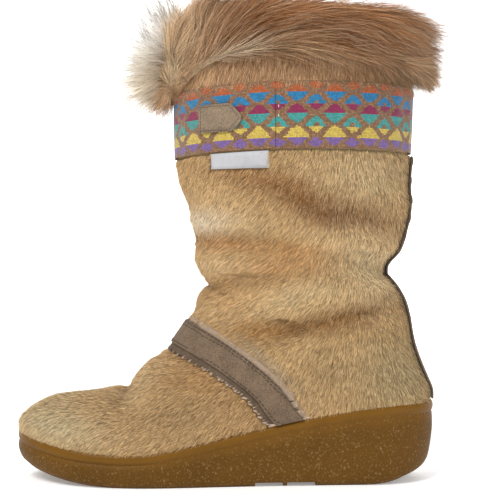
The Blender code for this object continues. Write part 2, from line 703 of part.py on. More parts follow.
def main():
    for thing in list(bpy.data.objects):
        bpy.data.objects.remove(thing)
    boot = collection_named("fur_boot")
    cutters = collection_named("cutters")
    upper = Upper()
    make_outsole(boot, cutters)
    make_insole(boot)
    make_upper(upper, boot)
    make_ribbon(upper, boot)
    make_instep_strap(upper, boot)
    make_back_stay(upper, boot)
    tab_lift = GAP + RIBBON_THICKNESS + PATCH_LIFT
    make_patch("suede_tab", upper, SUEDE_TAB, tab_lift, SUEDE_THICKNESS, "suede", boot)
    make_patch("label_tab", upper, LABEL_TAB, PATCH_LIFT, LABEL_THICKNESS, "label", boot)
    make_cuff(upper, boot, cutters)


main()
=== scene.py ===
"""Dresses the solid fur boot: nap on the hide, long fur on the cuff, woven ribbon, suede and crumb rubber.

The boot stands on z = 0 with its toe towards -X and its outer side towards -Y. Tables are in millimetres.
"""

import math
from collections import namedtuple

import bmesh
import bpy
import numpy as np
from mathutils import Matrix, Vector, noise
from mathutils.bvhtree import BVHTree
from mathutils.kdtree import KDTree


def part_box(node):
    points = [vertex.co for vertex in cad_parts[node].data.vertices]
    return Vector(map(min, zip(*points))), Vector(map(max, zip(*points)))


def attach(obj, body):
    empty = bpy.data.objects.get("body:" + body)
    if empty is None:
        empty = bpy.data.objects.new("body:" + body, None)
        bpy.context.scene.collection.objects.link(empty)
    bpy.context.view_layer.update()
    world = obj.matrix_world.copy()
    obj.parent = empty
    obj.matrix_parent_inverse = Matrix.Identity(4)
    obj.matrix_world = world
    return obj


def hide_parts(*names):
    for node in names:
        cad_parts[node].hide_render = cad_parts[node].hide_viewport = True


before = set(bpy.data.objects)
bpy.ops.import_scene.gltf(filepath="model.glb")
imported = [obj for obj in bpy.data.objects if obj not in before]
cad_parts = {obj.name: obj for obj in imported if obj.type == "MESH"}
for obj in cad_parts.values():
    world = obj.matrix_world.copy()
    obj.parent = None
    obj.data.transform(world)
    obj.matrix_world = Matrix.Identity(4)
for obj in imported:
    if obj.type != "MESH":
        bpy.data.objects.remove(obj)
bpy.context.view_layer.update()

bl_info = {
    "name": "Fur boot",
    "version": (1, 0, 0),
    "blender": (4, 5, 0),
    "location": "3D View > Sidebar > Fur boot",
    "description": "Dresses the solid fur boot in nap, long fur, woven ribbon, suede and crumb rubber",
    "category": "Object",
}

MM = 0.001
BODY = "root"


def linear(code):
    """A web colour such as #c79a5b as linear red, green and blue."""
    shares = [int(code[place:place + 2], 16) / 255 for place in (1, 3, 5)]
    return tuple(
        share / 12.92 if share <= 0.04045 else ((share + 0.055) / 1.055) ** 2.4 for share in shares
    )


def times(colour, factor):
    """A colour made paler or darker."""
    return tuple(min(1.0, share * factor) for share in colour)


def fade(values, start, end):
    """0 before start, 1 past end and even in between."""
    return np.clip((values - start) / (end - start), 0, 1)


# ---------------------------------------------------------------- tables

# Soft folds in the slouched shaft, as lines of (x, z) across a side. A positive depth is a trough.
Fold = namedtuple("Fold", "depth width line")
FOLDS = (
    Fold(4.2, 8.5, ((-6, 196), (22, 191), (46, 184), (66, 173), (88, 164), (112, 158))),
    Fold(3.2, 6.5, ((-26, 153), (-8, 150), (14, 147), (36, 144), (58, 147))),
    Fold(3.2, 7.0, ((-8, 124), (12, 122), (34, 126), (58, 134), (88, 137), (108, 134))),
    Fold(5.2, 6.0, ((12, 92), (28, 94), (46, 97), (64, 101), (84, 106), (104, 107))),
    Fold(0.8, 6.0, ((-64, 58), (-58, 50), (-55, 44))),
    Fold(-2.0, 9.0, ((-16, 168), (6, 166), (30, 170))),
    Fold(-2.2, 9.0, ((-4, 134), (30, 136), (60, 142))),
    Fold(-2.4, 10.0, ((-50, 66), (-38, 62), (-28, 56))),
)
FOLD_REBOUND = 0.4  # height of the soft ridge beside a fold, as a share of its depth
INNER_SHIFT = 7.0  # how far the inner side's folds lie behind the outer side's
INNER_DEPTH = 0.8  # and how deep they are, as a share
LINE_SPACING = 2.0  # between the points that a fold's line is made of
SLACK = 0.7  # small unevenness of the hide
SLACK_SPAN = 24.0  # and the size of its bumps

# Which way the nap lies, as strokes: a place on the side, and the way the hair points there.
Stroke = namedtuple("Stroke", "x z along_x along_z")
NAP_STROKES = (
    Stroke(-20, 190, -0.45, -0.90),
    Stroke(40, 190, -0.50, -0.85),
    Stroke(80, 185, -0.10, -1.00),
    Stroke(112, 185, 0.10, -1.00),
    Stroke(-10, 150, -0.60, -0.80),
    Stroke(45, 145, -0.70, -0.70),
    Stroke(80, 145, -0.20, -1.00),
    Stroke(105, 130, 0.10, -1.00),
    Stroke(0, 110, -0.80, -0.55),
    Stroke(45, 110, -0.80, -0.60),
    Stroke(85, 112, -0.20, -1.00),
    Stroke(60, 75, -0.45, -0.90),
    Stroke(90, 75, 0.05, -1.00),
    Stroke(118, 70, 0.35, -1.00),
    Stroke(-5, 65, -0.75, -0.70),
    Stroke(-45, 50, -0.80, -0.65),
    Stroke(-85, 45, -0.80, -0.60),
    Stroke(-120, 40, -0.60, -0.80),
)
CUFF_STROKES = (
    Stroke(-38, 238, -0.10, -1.00),
    Stroke(-38, 250, -0.45, -0.90),
    Stroke(-34, 266, 0.15, 1.00),
    Stroke(-24, 256, 0.15, 1.00),
    Stroke(-22, 270, 0.35, 0.95),
    Stroke(-12, 284, 0.55, 0.85),
    Stroke(0, 276, 0.70, 0.70),
    Stroke(10, 264, 0.80, 0.60),
    Stroke(28, 262, 0.95, 0.25),
    Stroke(14, 290, 0.92, 0.40),
    Stroke(45, 288, 1.00, 0.02),
    Stroke(45, 266, 1.00, -0.08),
    Stroke(70, 276, 0.97, -0.20),
    Stroke(82, 262, 0.88, -0.45),
    Stroke(94, 268, 0.90, -0.42),
    Stroke(104, 252, 0.62, -0.80),
    Stroke(78, 292, 1.00, 0.12),
    Stroke(104, 292, 0.96, 0.10),
    Stroke(118, 278, 0.95, -0.25),
    Stroke(126, 250, 0.97, -0.12),
    Stroke(114, 240, 0.65, -0.75),
)
COLLAR_STROKES = (
    Stroke(-20, 250, -0.15, -1.00),
    Stroke(60, 250, -0.05, -1.00),
    Stroke(110, 250, 0.20, -1.00),
)
STROKE_REACH = 20.0  # how far a stroke's way is felt

# Colours of the coat: ovals of tone laid one over another on both sides of the boot. Besides the coat's own
# patches, some ovals are painted light: painted highlight on ridges and lit strands, painted shade in
# troughs and under drooping fur, and paler paint where the fur's own hair shades it.
TONE_SHIFT = 5.0  # how far the inner side's ovals lie behind the outer side's
Tone = namedtuple("Tone", "x z wide high turn colour strength")
# Pale ovals on the folds' ridges, such as those at (-10, 163) and (-4, 136), are painted highlight; the
# dark ovals along the troughs and the low crease, such as those at (48, 176), (82, 166) and (66, 101), are
# partly the hide's darker patches and partly painted shade.
HIDE_TONES = (
    Tone(88, 190, 44, 22, 0, "#cbb286", 0.8),
    Tone(0, 178, 34, 10, 10, "#d2b07c", 0.6),
    Tone(26, 186, 34, 8, -12, "#a06f3a", 0.85),
    Tone(48, 176, 22, 9, -34, "#93632f", 0.9),
    Tone(62, 166, 14, 6, -30, "#8a5c2c", 0.8),
    Tone(82, 166, 26, 8, -16, "#84592b", 0.95),
    Tone(72, 149, 26, 9, 0, "#d8ba8a", 0.8),
    Tone(-10, 163, 20, 8, -4, "#eadcc2", 0.9),
    Tone(20, 158, 26, 7, -10, "#c9ab7a", 0.7),
    Tone(2, 149, 34, 5, -4, "#b58249", 0.8),
    Tone(42, 146, 22, 6, -6, "#b78648", 0.7),
    Tone(-4, 136, 24, 6, 0, "#e0c190", 0.7),
    Tone(40, 135, 26, 8, 8, "#c4935a", 0.7),
    Tone(94, 132, 22, 18, 0, "#dec9a0", 0.85),
    Tone(-2, 123, 16, 5, 8, "#a87c47", 0.7),
    Tone(46, 117, 34, 8, 14, "#d3ba8b", 0.8),
    Tone(8, 114, 18, 7, 6, "#d2aa74", 0.7),
    Tone(98, 113, 18, 6, 4, "#bda074", 0.7),
    Tone(26, 96, 22, 5, 0, "#a97532", 0.9),
    Tone(66, 101, 34, 5, 14, "#94601f", 0.95),
    Tone(28, 76.5, 25, 3.2, -41, "#a5947b", 0.8),
    Tone(54, 84, 26, 12, 0, "#c2a26e", 0.5),
    Tone(64, 71, 13, 9, 0, "#a3875c", 0.6),
    Tone(108, 68, 30, 26, 0, "#a38f66", 0.85),
    Tone(-12, 66, 40, 16, -38, "#b98e58", 0.8),
    Tone(-46, 68, 18, 9, 50, "#ccb184", 0.6),
    Tone(-104, 38, 34, 12, -10, "#c9b891", 0.9),
    Tone(-100, 54, 30, 7, 8, "#b59f76", 0.7),
    Tone(-62, 54, 12, 6, 30, "#a68a5f", 0.6),
    Tone(-26, 44, 30, 12, 12, "#a58558", 0.75),
)
CUFF_TONES = (
    Tone(-36, 240, 9, 24, 0, "#e0b688", 0.95),
    Tone(-30, 270, 16, 30, 0, "#d4bb94", 0.9),
    Tone(-21, 281, 16, 13, 30, "#e0bf96", 0.95),
    Tone(-12, 264, 16, 9, 40, "#c49c72", 0.9),
    # painted light: paler paint where the long fur shades the low front corner
    Tone(-18, 246, 14, 12, 0, "#e0b27c", 0.95),
    # painted highlight: the two pale strands below the cuff's front are where the fur catches the light
    Tone(2, 262, 20, 7, 25, "#dcc5a0", 1.0),
    Tone(17, 267, 16, 5.5, 18, "#e8d6b6", 1.0),
    Tone(62, 262, 40, 6, -6, "#ad8a62", 0.8),
    Tone(34, 280, 42, 10, 2, "#75400c", 0.95),
    Tone(60, 288, 44, 6, -2, "#aa6d38", 0.8),
    Tone(90, 284, 22, 8, -10, "#ac784a", 0.7),
    Tone(84, 268, 26, 7, -20, "#6e3906", 0.97),
    # (88, 252) is painted light where the fur above shades the lower edge; (104, 252) is painted shade
    # under the drooping fur at the back
    Tone(88, 252, 14, 7, 0, "#c09c74", 0.85),
    Tone(104, 252, 12, 12, -50, "#7a5a3c", 0.8),
    Tone(126, 248, 10, 14, 0, "#a48a6a", 0.8),
    Tone(124, 276, 14, 12, 0, "#9a7554", 0.7),
)
COLLAR_TONES = (
    Tone(110, 250, 14, 12, 0, "#9a7a58", 0.6),
    # painted light: paler paint in the front corner that the cuff's fur shades
    Tone(-18, 246, 12, 14, 0, "#d6ad80", 0.8),
)
ROLL_TONES = (
    Tone(-42, 250, 11, 26, 0, "#c9b594", 0.8),
    # painted light: paler paint on the roll's right side, which its own hair shades
    Tone(-34, 244, 9, 20, 0, "#dab78e", 0.9),
    Tone(-60, 282, 24, 18, 0, "#ffffff", 1.0),
)

# One repeat of the ribbon: round-sided triangles that stand on a level over its lower edge, up or down to
# a tip. column is in repeats, and half is half their width.
Motif = namedtuple("Motif", "column level tip half yarn")
MOTIFS = (
    Motif(0.0, 33.6, 38.8, 6.8, "orange"),
    Motif(0.0, 33.6, 28.0, 6.6, "blue"),
    Motif(0.0, 20.7, 26.6, 7.0, "magenta"),
    Motif(0.0, 20.7, 15.0, 6.8, "teal"),
    Motif(0.0, 6.8, 13.4, 7.4, "yellow"),
    Motif(0.0, 6.8, 1.6, 6.6, "purple"),
    Motif(0.5, 37.9, 40.1, 4.8, "orange"),
    Motif(0.5, 37.9, 35.3, 4.8, "orange"),
    Motif(0.5, 26.3, 28.4, 1.7, "ground"),
    Motif(0.5, 26.3, 32.2, 6.6, "blue"),
    Motif(0.5, 26.3, 22.6, 4.4, "magenta"),
    Motif(0.5, 13.1, 15.8, 2.2, "ground"),
    Motif(0.5, 13.1, 19.0, 6.6, "teal"),
    Motif(0.5, 13.1, 9.2, 4.8, "yellow"),
    Motif(0.5, 3.3, 6.2, 5.0, "purple"),
    Motif(0.5, 3.3, 0.7, 5.0, "purple"),
)
MOTIF_ROUNDNESS = 0.62  # 1 is a triangle, less is rounder
COLLAR_MIDDLE_X = 44.0  # the middle of the shaft at the ribbon
COLLAR_RADIUS = 70.0  # of the shaft there, about
RIBBON_MIDDLE_Z = 222.0
RIBBON_LOW_Z = 208.0  # the whole lower edge lies below this
RIBBON_HIGH_Z = 238.0  # and the whole upper edge above this
RIBBON_LENGTH = 414.0
RIBBON_WIDTH = 40.2
RIBBON_REPEATS = 18
RIBBON_CELLS = 24  # weft floats in one repeat
RIBBON_ROWS = 44
RIBBON_SHIFT = 0.225  # in repeats, from the cut end to the first motif
RIBBON_OVERLAP = 5.0
RIBBON_LIFT = 0.1  # how far it stands off the shaft
RIBBON_LAP = 0.7  # and how much more at its cut end
RIBBON_INSET = 0.2  # from the band's edges to the ribbon's
OUTSIDE = 0.3  # metres from the shaft's middle to a place outside everything
RIBBON_END_X = 22.0  # where its cut end lies on the outer side
RAGGED = 0.5  # how far a motif's edge wanders
FLECK_CHANCE = 0.35
YARN_WEAR = (0.72, 1.12)  # darkest and palest float, as shares of a yarn's colour
TACK_X = 33.0  # two white stitches beside it
TACK_LEVELS = (230.0, 224.4)

# The middle of the instep strap, as (x, z): at the sole's edge and on the ridge of the instep.
STRAP_FOOT = (39.6, 41.9)
STRAP_CREST = (-28.7, 92.1)


# ---------------------------------------------------------------- meshes and attributes

def places(mesh):
    """A mesh's vertices as an array, in millimetres."""
    flat = np.empty(len(mesh.vertices) * 3, dtype=np.float32)
    mesh.vertices.foreach_get("co", flat)
    return flat.reshape(-1, 3).astype(float) / MM


def facings(mesh):
    """The normals of a mesh's vertices."""
    flat = np.empty(len(mesh.vertices) * 3, dtype=np.float32)
    mesh.vertex_normals.foreach_get("vector", flat)
    return flat.reshape(-1, 3).astype(float)


def place(mesh, points):
    """Moves a mesh's vertices to points in millimetres."""
    mesh.vertices.foreach_set("co", (np.asarray(points) * MM).astype(np.float32).ravel())
    mesh.update()


def mark(mesh, name, values, kind="FLOAT"):
    """Writes one named value for each vertex."""
    field = {"FLOAT": "value", "FLOAT_VECTOR": "vector", "FLOAT_COLOR": "color"}[kind]
    values = np.asarray(values, dtype=np.float32)
    if kind == "FLOAT_COLOR":
        values = np.column_stack((values, np.ones(len(values), dtype=np.float32)))
    mesh.attributes.new(name, kind, "POINT").data.foreach_set(field, values.ravel())


def unit(vectors):
    """Vectors of length one."""
    return vectors / np.maximum(np.linalg.norm(vectors, axis=-1, keepdims=True), 1e-9)


def smooth(mesh):
    """Shades every face smooth."""
    mesh.polygons.foreach_set("use_smooth", np.ones(len(mesh.polygons), dtype=bool))


def mesh_of(name, body):
    """Ends a bmesh as a smooth mesh."""
    mesh = bpy.data.meshes.new(name)
    body.to_mesh(mesh)
    body.free()
    smooth(mesh)
    return mesh


def linked(name, data):
    """A new object in the scene."""
    made = bpy.data.objects.new(name, data)
    bpy.context.scene.collection.objects.link(made)
    return made


def discard(*objects):
    """Removes objects that only helped to make a piece."""
    for unwanted in objects:
        bpy.data.objects.remove(unwanted)


def new_piece(name, mesh, finish):
    """An object at the origin with one material."""
    mesh.name = name
    mesh.materials.clear()
    mesh.materials.append(finish)
    return linked(name, mesh)


def seat(piece, slot, *nodes):
    """The piece rides on the boot and may stand for CAD nodes, which are hidden; the slot is not used."""
    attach(piece, BODY)
    if nodes:
        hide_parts(*nodes)
    return piece


def evaluated_mesh(piece):
    """The mesh that a piece's modifiers make."""
    bpy.context.view_layer.update()
    graph = bpy.context.evaluated_depsgraph_get()
    made = piece.evaluated_get(graph)
    return bpy.data.meshes.new_from_object(made, preserve_all_data_layers=True, depsgraph=graph)


def shaped(name, mesh, *modifiers):
    """The mesh that modifiers make of another, each given as its type and its settings."""
    holder = linked(name, mesh)
    for kind, settings in modifiers:
        modifier = holder.modifiers.new(kind.lower(), kind)
        for setting, value in settings.items():
            setattr(modifier, setting, value)
    made = evaluated_mesh(holder)
    discard(holder)
    return made


def welded(node):
    """A CAD node's faces, joined along their edges into four-sided ones."""
    body = bmesh.new()
    body.from_mesh(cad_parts[node].data)
    bmesh.ops.remove_doubles(body, verts=body.verts, dist=1e-6)
    bmesh.ops.join_triangles(
        body,
        faces=body.faces,
        angle_face_threshold=math.radians(40),
        angle_shape_threshold=math.radians(50),
    )
    return body


def refined(node, hard=38.0):
    """A smooth copy of a CAD node's mesh. Edges that turn by more than hard degrees stay sharp."""
    body = welded(node)
    crease = body.edges.layers.float.new("crease_edge")
    for edge in body.edges:
        if edge.calc_face_angle(0.0) > math.radians(hard):
            edge[crease] = 1.0
    made = shaped(node, mesh_of(node, body), ("SUBSURF", {"levels": 2, "render_levels": 2}))
    smooth(made)
    return made


def relaxed(mesh, points, share, rounds):
    """Points drawn towards the middle of their neighbours, each by its own share, again and again."""
    ends = np.empty(len(mesh.edges) * 2, dtype=np.int32)
    mesh.edges.foreach_get("vertices", ends)
    here = np.concatenate((ends[0::2], ends[1::2]))
    there = np.concatenate((ends[1::2], ends[0::2]))
    count = np.maximum(np.bincount(here, minlength=len(points)), 1)
    for _ in range(rounds):
        sums = [np.bincount(here, points[there, axis], len(points)) for axis in range(3)]
        middle = np.column_stack([total / count for total in sums])
        points = points + share[:, None] * (middle - points)
    return points


def tree_of(mesh):
    """A search tree over a mesh's faces, in metres."""
    return BVHTree.FromPolygons([v.co for v in mesh.vertices], [tuple(p.vertices) for p in mesh.polygons])


def node_tree(node):
    """A search tree over a CAD node."""
    return tree_of(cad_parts[node].data)


def ray_spots(tree, starts, way, lift=0.0):
    """Where rays that start in metres and go one way meet a piece, lifted off its face by millimetres.

    Rays that miss are left out.
    """
    spots = []
    for start in starts:
        hit, normal, _, _ = tree.ray_cast(start, Vector(way))
        if hit is not None:
            spots.append(np.array(hit) / MM + np.array(normal) * lift)
    return spots


# ---------------------------------------------------------------- fields over the boot's sides

def line_points(line):
    """Points along a line of (x, z) corners, rounded through them."""
    corners = np.array(line, dtype=float)
    lengths = np.concatenate(([0.0], np.cumsum(np.linalg.norm(np.diff(corners, axis=0), axis=1))))
    slopes = np.gradient(corners, lengths, axis=0)
    spots = np.linspace(0, lengths[-1], max(3, int(lengths[-1] / LINE_SPACING)))
    span = np.clip(np.searchsorted(lengths, spots, side="right") - 1, 0, len(lengths) - 2)
    width = (lengths[span + 1] - lengths[span])[:, None]
    share = ((spots - lengths[span])[:, None]) / width
    start, end = corners[span], corners[span + 1]
    return (
        (2 * share**3 - 3 * share**2 + 1) * start
        + (share**3 - 2 * share**2 + share) * width * slopes[span]
        + (3 * share**2 - 2 * share**3) * end
        + (share**3 - share**2) * width * slopes[span + 1]
    )


def fold_height(points):
    """How far the folds raise the hide at each point; troughs are negative."""
    height = np.zeros(len(points))
    inner = points[:, 1] > 0
    for fold in FOLDS:
        line = line_points(fold.line)
        shift = np.where(inner, INNER_SHIFT, 0.0)
        apart_x = (points[:, 0] - shift)[:, None] - line[None, :, 0]
        apart_z = points[:, 2][:, None] - line[None, :, 1]
        apart = np.sqrt(apart_x**2 + apart_z**2)
        nearest = apart.argmin(axis=1)
        gap = apart[np.arange(len(points)), nearest] / fold.width
        share = nearest / (len(line) - 1)
        ends = np.clip(np.minimum(share, 1 - share) * 6 + 0.25, 0, 1)
        depth = fold.depth * np.where(inner, INNER_DEPTH, 1.0) * ends
        height -= depth * (np.exp(-gap**2) - FOLD_REBOUND * np.exp(-((gap - 1.8) / 0.7) ** 2))
    return height


def slack_height(points):
    """Small unevenness all over the hide."""
    return np.array([noise.noise(Vector(point) / SLACK_SPAN) for point in points]) * SLACK


def combed(points, facing, strokes):
    """The way the hair lies at each point, along the surface."""
    x = np.array([stroke.x for stroke in strokes])
    z = np.array([stroke.z for stroke in strokes])
    ways = np.array([(stroke.along_x, 0.0, stroke.along_z) for stroke in strokes])
    apart = (points[:, 0][:, None] - x) ** 2 + (points[:, 2][:, None] - z) ** 2
    weights = np.exp(-(apart - apart.min(axis=1, keepdims=True)) / (2 * STROKE_REACH**2))
    way = unit(weights @ ways)
    return unit(way - (way * facing).sum(axis=1, keepdims=True) * facing)


def toned(points, base, tones):
    """The coat's colour at each point, with the painted highlight and painted shade that some tones hold.
    """
    colour = np.tile(tuple(base), (len(points), 1))
    for tone in tones:
        turn = math.radians(tone.turn)
        x = points[:, 0] - tone.x - np.where(points[:, 1] > 0, TONE_SHIFT, 0.0)
        z = points[:, 2] - tone.z
        along = (x * math.cos(turn) + z * math.sin(turn)) / tone.wide
        across = (z * math.cos(turn) - x * math.sin(turn)) / tone.high
        share = (tone.strength * np.exp(-(along**2) - across**2))[:, None]
        colour = colour * (1 - share) + np.array(linear(tone.colour)) * share
    return colour


# ---------------------------------------------------------------- node trees

class Wire:
    """A node's output. An operator on it adds a Math node and gives that node's output."""

    def __init__(self, board, node, socket):
        self.board = board
        self.node = node
        self.socket = socket

    def also(self, name):
        """Another output of the same node."""
        return Wire(self.board, self.node, self.node.outputs[name])

    def __add__(self, other):
        return self.board.maths("ADD", self, other)

    __radd__ = __add__

    def __sub__(self, other):
        return self.board.maths("SUBTRACT", self, other)

    def __rsub__(self, other):
        return self.board.maths("SUBTRACT", other, self)

    def __mul__(self, other):
        return self.board.maths("MULTIPLY", self, other)

    __rmul__ = __mul__

    def __truediv__(self, other):
        return self.board.maths("DIVIDE", self, other)

    def __rtruediv__(self, other):
        return self.board.maths("DIVIDE", other, self)

    def __lt__(self, other):
        return self.board.maths("LESS_THAN", self, other)

    def __gt__(self, other):
        return self.board.maths("GREATER_THAN", self, other)


class Board:
    """A node tree that is built with expressions."""

    def __init__(self, tree):
        self.tree = tree

    def node(self, kind, values=None, out=0, **settings):
        """Adds a node: its settings first, then the values or links of its sockets."""
        made = self.tree.nodes.new(kind)
        for name, setting in settings.items():
            if name == "stops":
                self.set_stops(made.color_ramp, setting)
            else:
                setattr(made, name, setting)
        for name, value in (values or {}).items():
            self.plug(made.inputs[name], value)
        return Wire(self, made, made.outputs[out]) if len(made.outputs) else made

    def plug(self, socket, value):
        """Links a socket or sets its value."""
        if isinstance(value, Wire):
            self.tree.links.new(value.socket, socket)
        elif socket.type == "RGBA" and len(value) == 3:
            socket.default_value = (*value, 1.0)
        else:
            socket.default_value = value

    @staticmethod
    def set_stops(ramp, stops):
        """Gives a colour ramp its (place, colour) stops."""
        while len(ramp.elements) < len(stops):
            ramp.elements.new(1.0)
        for element, (spot, colour) in zip(ramp.elements, stops):
            element.position = spot
            element.color = (*colour, 1.0)

    def maths(self, operation, first, second=0.0):
        """A sum or a comparison of two numbers."""
        return self.node("ShaderNodeMath", {0: first, 1: second}, operation=operation)

    def vectors(self, operation, first, second):
        """A sum of two vectors."""
        return self.node("ShaderNodeVectorMath", {0: first, 1: second}, operation=operation)

    def scaled(self, vector, factor):
        """A vector or a colour times a number."""
        return self.node("ShaderNodeVectorMath", {0: vector, "Scale": factor}, operation="SCALE")

    def clamped(self, value):
        """A number kept between 0 and 1."""
        return self.node("ShaderNodeClamp", {"Value": value})


class Finish(Board):
    """A material of one Principled BSDF."""

    def __init__(self, name, roughness=0.6, **constants):
        self.material = bpy.data.materials.new(name)
        self.material.use_nodes = True
        super().__init__(self.material.node_tree)
        self.shader = self.tree.nodes["Principled BSDF"]
        self.shader.inputs["Roughness"].default_value = roughness
        for socket, value in constants.items():
            self.plug(self.shader.inputs[socket.replace("_", " ")], value)

    def set(self, socket, value):
        """Gives the shader a value or a link."""
        self.plug(self.shader.inputs[socket], value)

    def spot(self):
        """The place on the boot, in metres."""
        return self.node("ShaderNodeTexCoord", out="Object")

    def value(self, name):
        """A number written on the mesh."""
        return self.node("ShaderNodeAttribute", out="Fac", attribute_name=name)

    def colour(self, name):
        """A colour written on the mesh."""
        return self.node("ShaderNodeAttribute", out="Color", attribute_name=name)

    def mix(self, share, first, second):
        """Two colours, mixed."""
        return self.node("ShaderNodeMix", {0: share, 6: first, 7: second}, out=2, data_type="RGBA")

    def stretched(self, sizes):
        """The place on the boot counted in grains of these sizes, in millimetres."""
        scale = tuple(1 / (size * MM) for size in sizes)
        return self.node("ShaderNodeMapping", {"Vector": self.spot(), "Scale": scale})

    def grain(self, size, detail=3.0, roughness=0.55):
        """Noise whose blots are about size millimetres."""
        values = {"Scale": 1 / (size * MM), "Detail": detail, "Roughness": roughness}
        return self.node("ShaderNodeTexNoise", {"Vector": self.spot(), **values})

    def ramp(self, value, *stops):
        """A colour for a value from 0 to 1."""
        return self.node("ShaderNodeValToRGB", {0: value}, stops=stops)

    def mask(self, value, start, end, low=0.0, high=1.0):
        """A grey that goes from low to high while a value goes from start to end."""
        return self.ramp(value, (start, (low,) * 3), (end, (high,) * 3))

    def bump(self, height, depth):
        """Small relief; depth in millimetres."""
        values = {"Strength": 1.0, "Distance": depth * MM, "Height": height}
        self.set("Normal", self.node("ShaderNodeBump", values))


class Recipe(Board):
    """A Geometry Nodes tree with named inputs, run on a mesh once and then thrown away."""

    def __init__(self, name, inputs):
        super().__init__(bpy.data.node_groups.new(name, "GeometryNodeTree"))
        interface = self.tree.interface
        interface.new_socket("Geometry", in_out="INPUT", socket_type="NodeSocketGeometry")
        for label, kind in inputs:
            interface.new_socket(label, in_out="INPUT", socket_type=f"NodeSocket{kind}")
        interface.new_socket("Geometry", in_out="OUTPUT", socket_type="NodeSocketGeometry")
        self.entry = self.tree.nodes.new("NodeGroupInput")

    def inlet(self, name):
        """One of the tree's named inputs."""
        return Wire(self, self.entry, self.entry.outputs[name])

    def read(self, name, kind="FLOAT"):
        """A value written on the mesh."""
        return self.node("GeometryNodeInputNamedAttribute", {"Name": name}, data_type=kind)

    def keep(self, points, name, value, kind="FLOAT"):
        """Points with a value written on them."""
        values = {"Geometry": points, "Name": name, "Value": value}
        return self.node("GeometryNodeStoreNamedAttribute", values, data_type=kind, domain="POINT")

    def random(self, low, high, seed, each=None):
        """A random number for each point, or for each value of another socket."""
        values = {2: low, 3: high, 8: seed}
        if each is not None:
            values[7] = each
        return self.node("FunctionNodeRandomValue", values, out=1, data_type="FLOAT")

    def random_vector(self, reach, seed):
        """A random vector for each point."""
        values = {0: (-reach,) * 3, 1: (reach,) * 3, 8: seed}
        return self.node("FunctionNodeRandomValue", values, data_type="FLOAT_VECTOR")

    def scattered(self, skin, density, seed):
        """Random points on a skin."""
        values = {"Mesh": skin, "Density": density, "Seed": seed}
        return self.node("GeometryNodeDistributePointsOnFaces", values)

    def shape(self, name):
        """The geometry of an object that is one of the tree's inputs."""
        return self.node("GeometryNodeObjectInfo", {"Object": self.inlet(name)}, out="Geometry")

    def copies(self, points, sample, **turns):
        """Real copies of a sample object on points."""
        values = {"Points": points, "Instance": self.shape(sample), **turns}
        row = self.node("GeometryNodeInstanceOnPoints", values)
        return self.node("GeometryNodeRealizeInstances", {"Geometry": row})

    def finish(self, geometry):
        """Gives the geometry its material and ends the tree."""
        values = {"Geometry": geometry, "Material": self.inlet("Material")}
        painted = self.node("GeometryNodeSetMaterial", values)
        self.node("NodeGroupOutput", {"Geometry": painted})

    def run(self, name, source, values):
        """The mesh that the recipe makes of a source object."""
        modifier = source.modifiers.new(name, "NODES")
        modifier.node_group = self.tree
        for item in self.tree.interface.items_tree:
            if item.in_out == "INPUT" and item.name in values:
                modifier[item.identifier] = values[item.name]
        mesh = evaluated_mesh(source)
        source.modifiers.remove(modifier)
        bpy.data.node_groups.remove(self.tree)
        if not len(mesh.polygons):
            raise RuntimeError(f"{name} came out empty")
        return mesh


HAIR_INPUTS = {
    "Float": (
        "Density", "Length", "Width", "Lift", "Frizz", "Roll",
        "Locks", "Gather", "Wave", "Wave span", "Cover depth", "Cover lift",
    ),
    "Int": ("Seed",),
    "Object": ("Blade", "Covers"),
    "Material": ("Material",),
}
COVER_REACH = 4.0  # hair this near to a trim stands up from it


def uncovered(board, roots, covers, here):
    """The roots that no trim covers."""
    facing = roots.also("Normal")
    reach = board.inlet("Cover depth")
    ray = {
        "Target Geometry": covers,
        "Source Position": board.vectors("SUBTRACT", here, board.scaled(facing, reach)),
        "Ray Direction": facing,
        "Ray Length": reach * 2.0,
    }
    covered = {"Geometry": roots, "Selection": board.node("GeometryNodeRaycast", ray)}
    return board.node("GeometryNodeDeleteGeometry", covered, domain="POINT")


def told(board, points, locks, here, seed):
    """Points that know the way to their lock, the shades of lock and hair, and the hair's length."""
    lock = board.node("GeometryNodeSampleNearest", {"Geometry": locks}, domain="POINT")
    lock_place = board.node(
        "GeometryNodeSampleIndex",
        {"Geometry": locks, "Value": here, "Index": lock},
        data_type="FLOAT_VECTOR",
        domain="POINT",
    )
    size = board.inlet("Length") * board.read("tall") * board.random(0.7, 1.2, 11)
    points = board.keep(points, "pull", board.vectors("SUBTRACT", lock_place, here), "FLOAT_VECTOR")
    points = board.keep(points, "lock", board.random(0.0, 1.0, seed + 2, each=lock))
    points = board.keep(points, "tint", board.random(0.0, 1.0, 12))
    return board.keep(points, "size", size)


def hair_turn(board, facing, covers):
    """How each hair is turned: along the comb, lifted more beside a trim, a little astray and rolled."""
    gap = board.node("GeometryNodeProximity", {"Geometry": covers}, out="Distance", target_element="FACES")
    near = board.clamped(1.0 - gap / (COVER_REACH * MM))
    lift = board.inlet("Lift") + board.inlet("Cover lift") * near
    way = board.vectors("ADD", board.read("comb", "FLOAT_VECTOR"), board.scaled(facing, lift))
    stray = board.scaled(board.random_vector(1.0, 13), board.inlet("Frizz"))
    laid = board.node(
        "FunctionNodeAxesToRotation",
        {"Primary Axis": board.vectors("ADD", way, stray), "Secondary Axis": facing},
        primary_axis="X",
        secondary_axis="Z",
    )
    roll = {"Axis": (1.0, 0.0, 0.0), "Angle": board.random(-1.0, 1.0, 14) * board.inlet("Roll")}
    rolled = {"Rotation": laid, "Rotate By": board.node("FunctionNodeAxisAngleToRotation", roll)}
    return board.node("FunctionNodeRotateRotation", rolled, rotation_space="LOCAL")


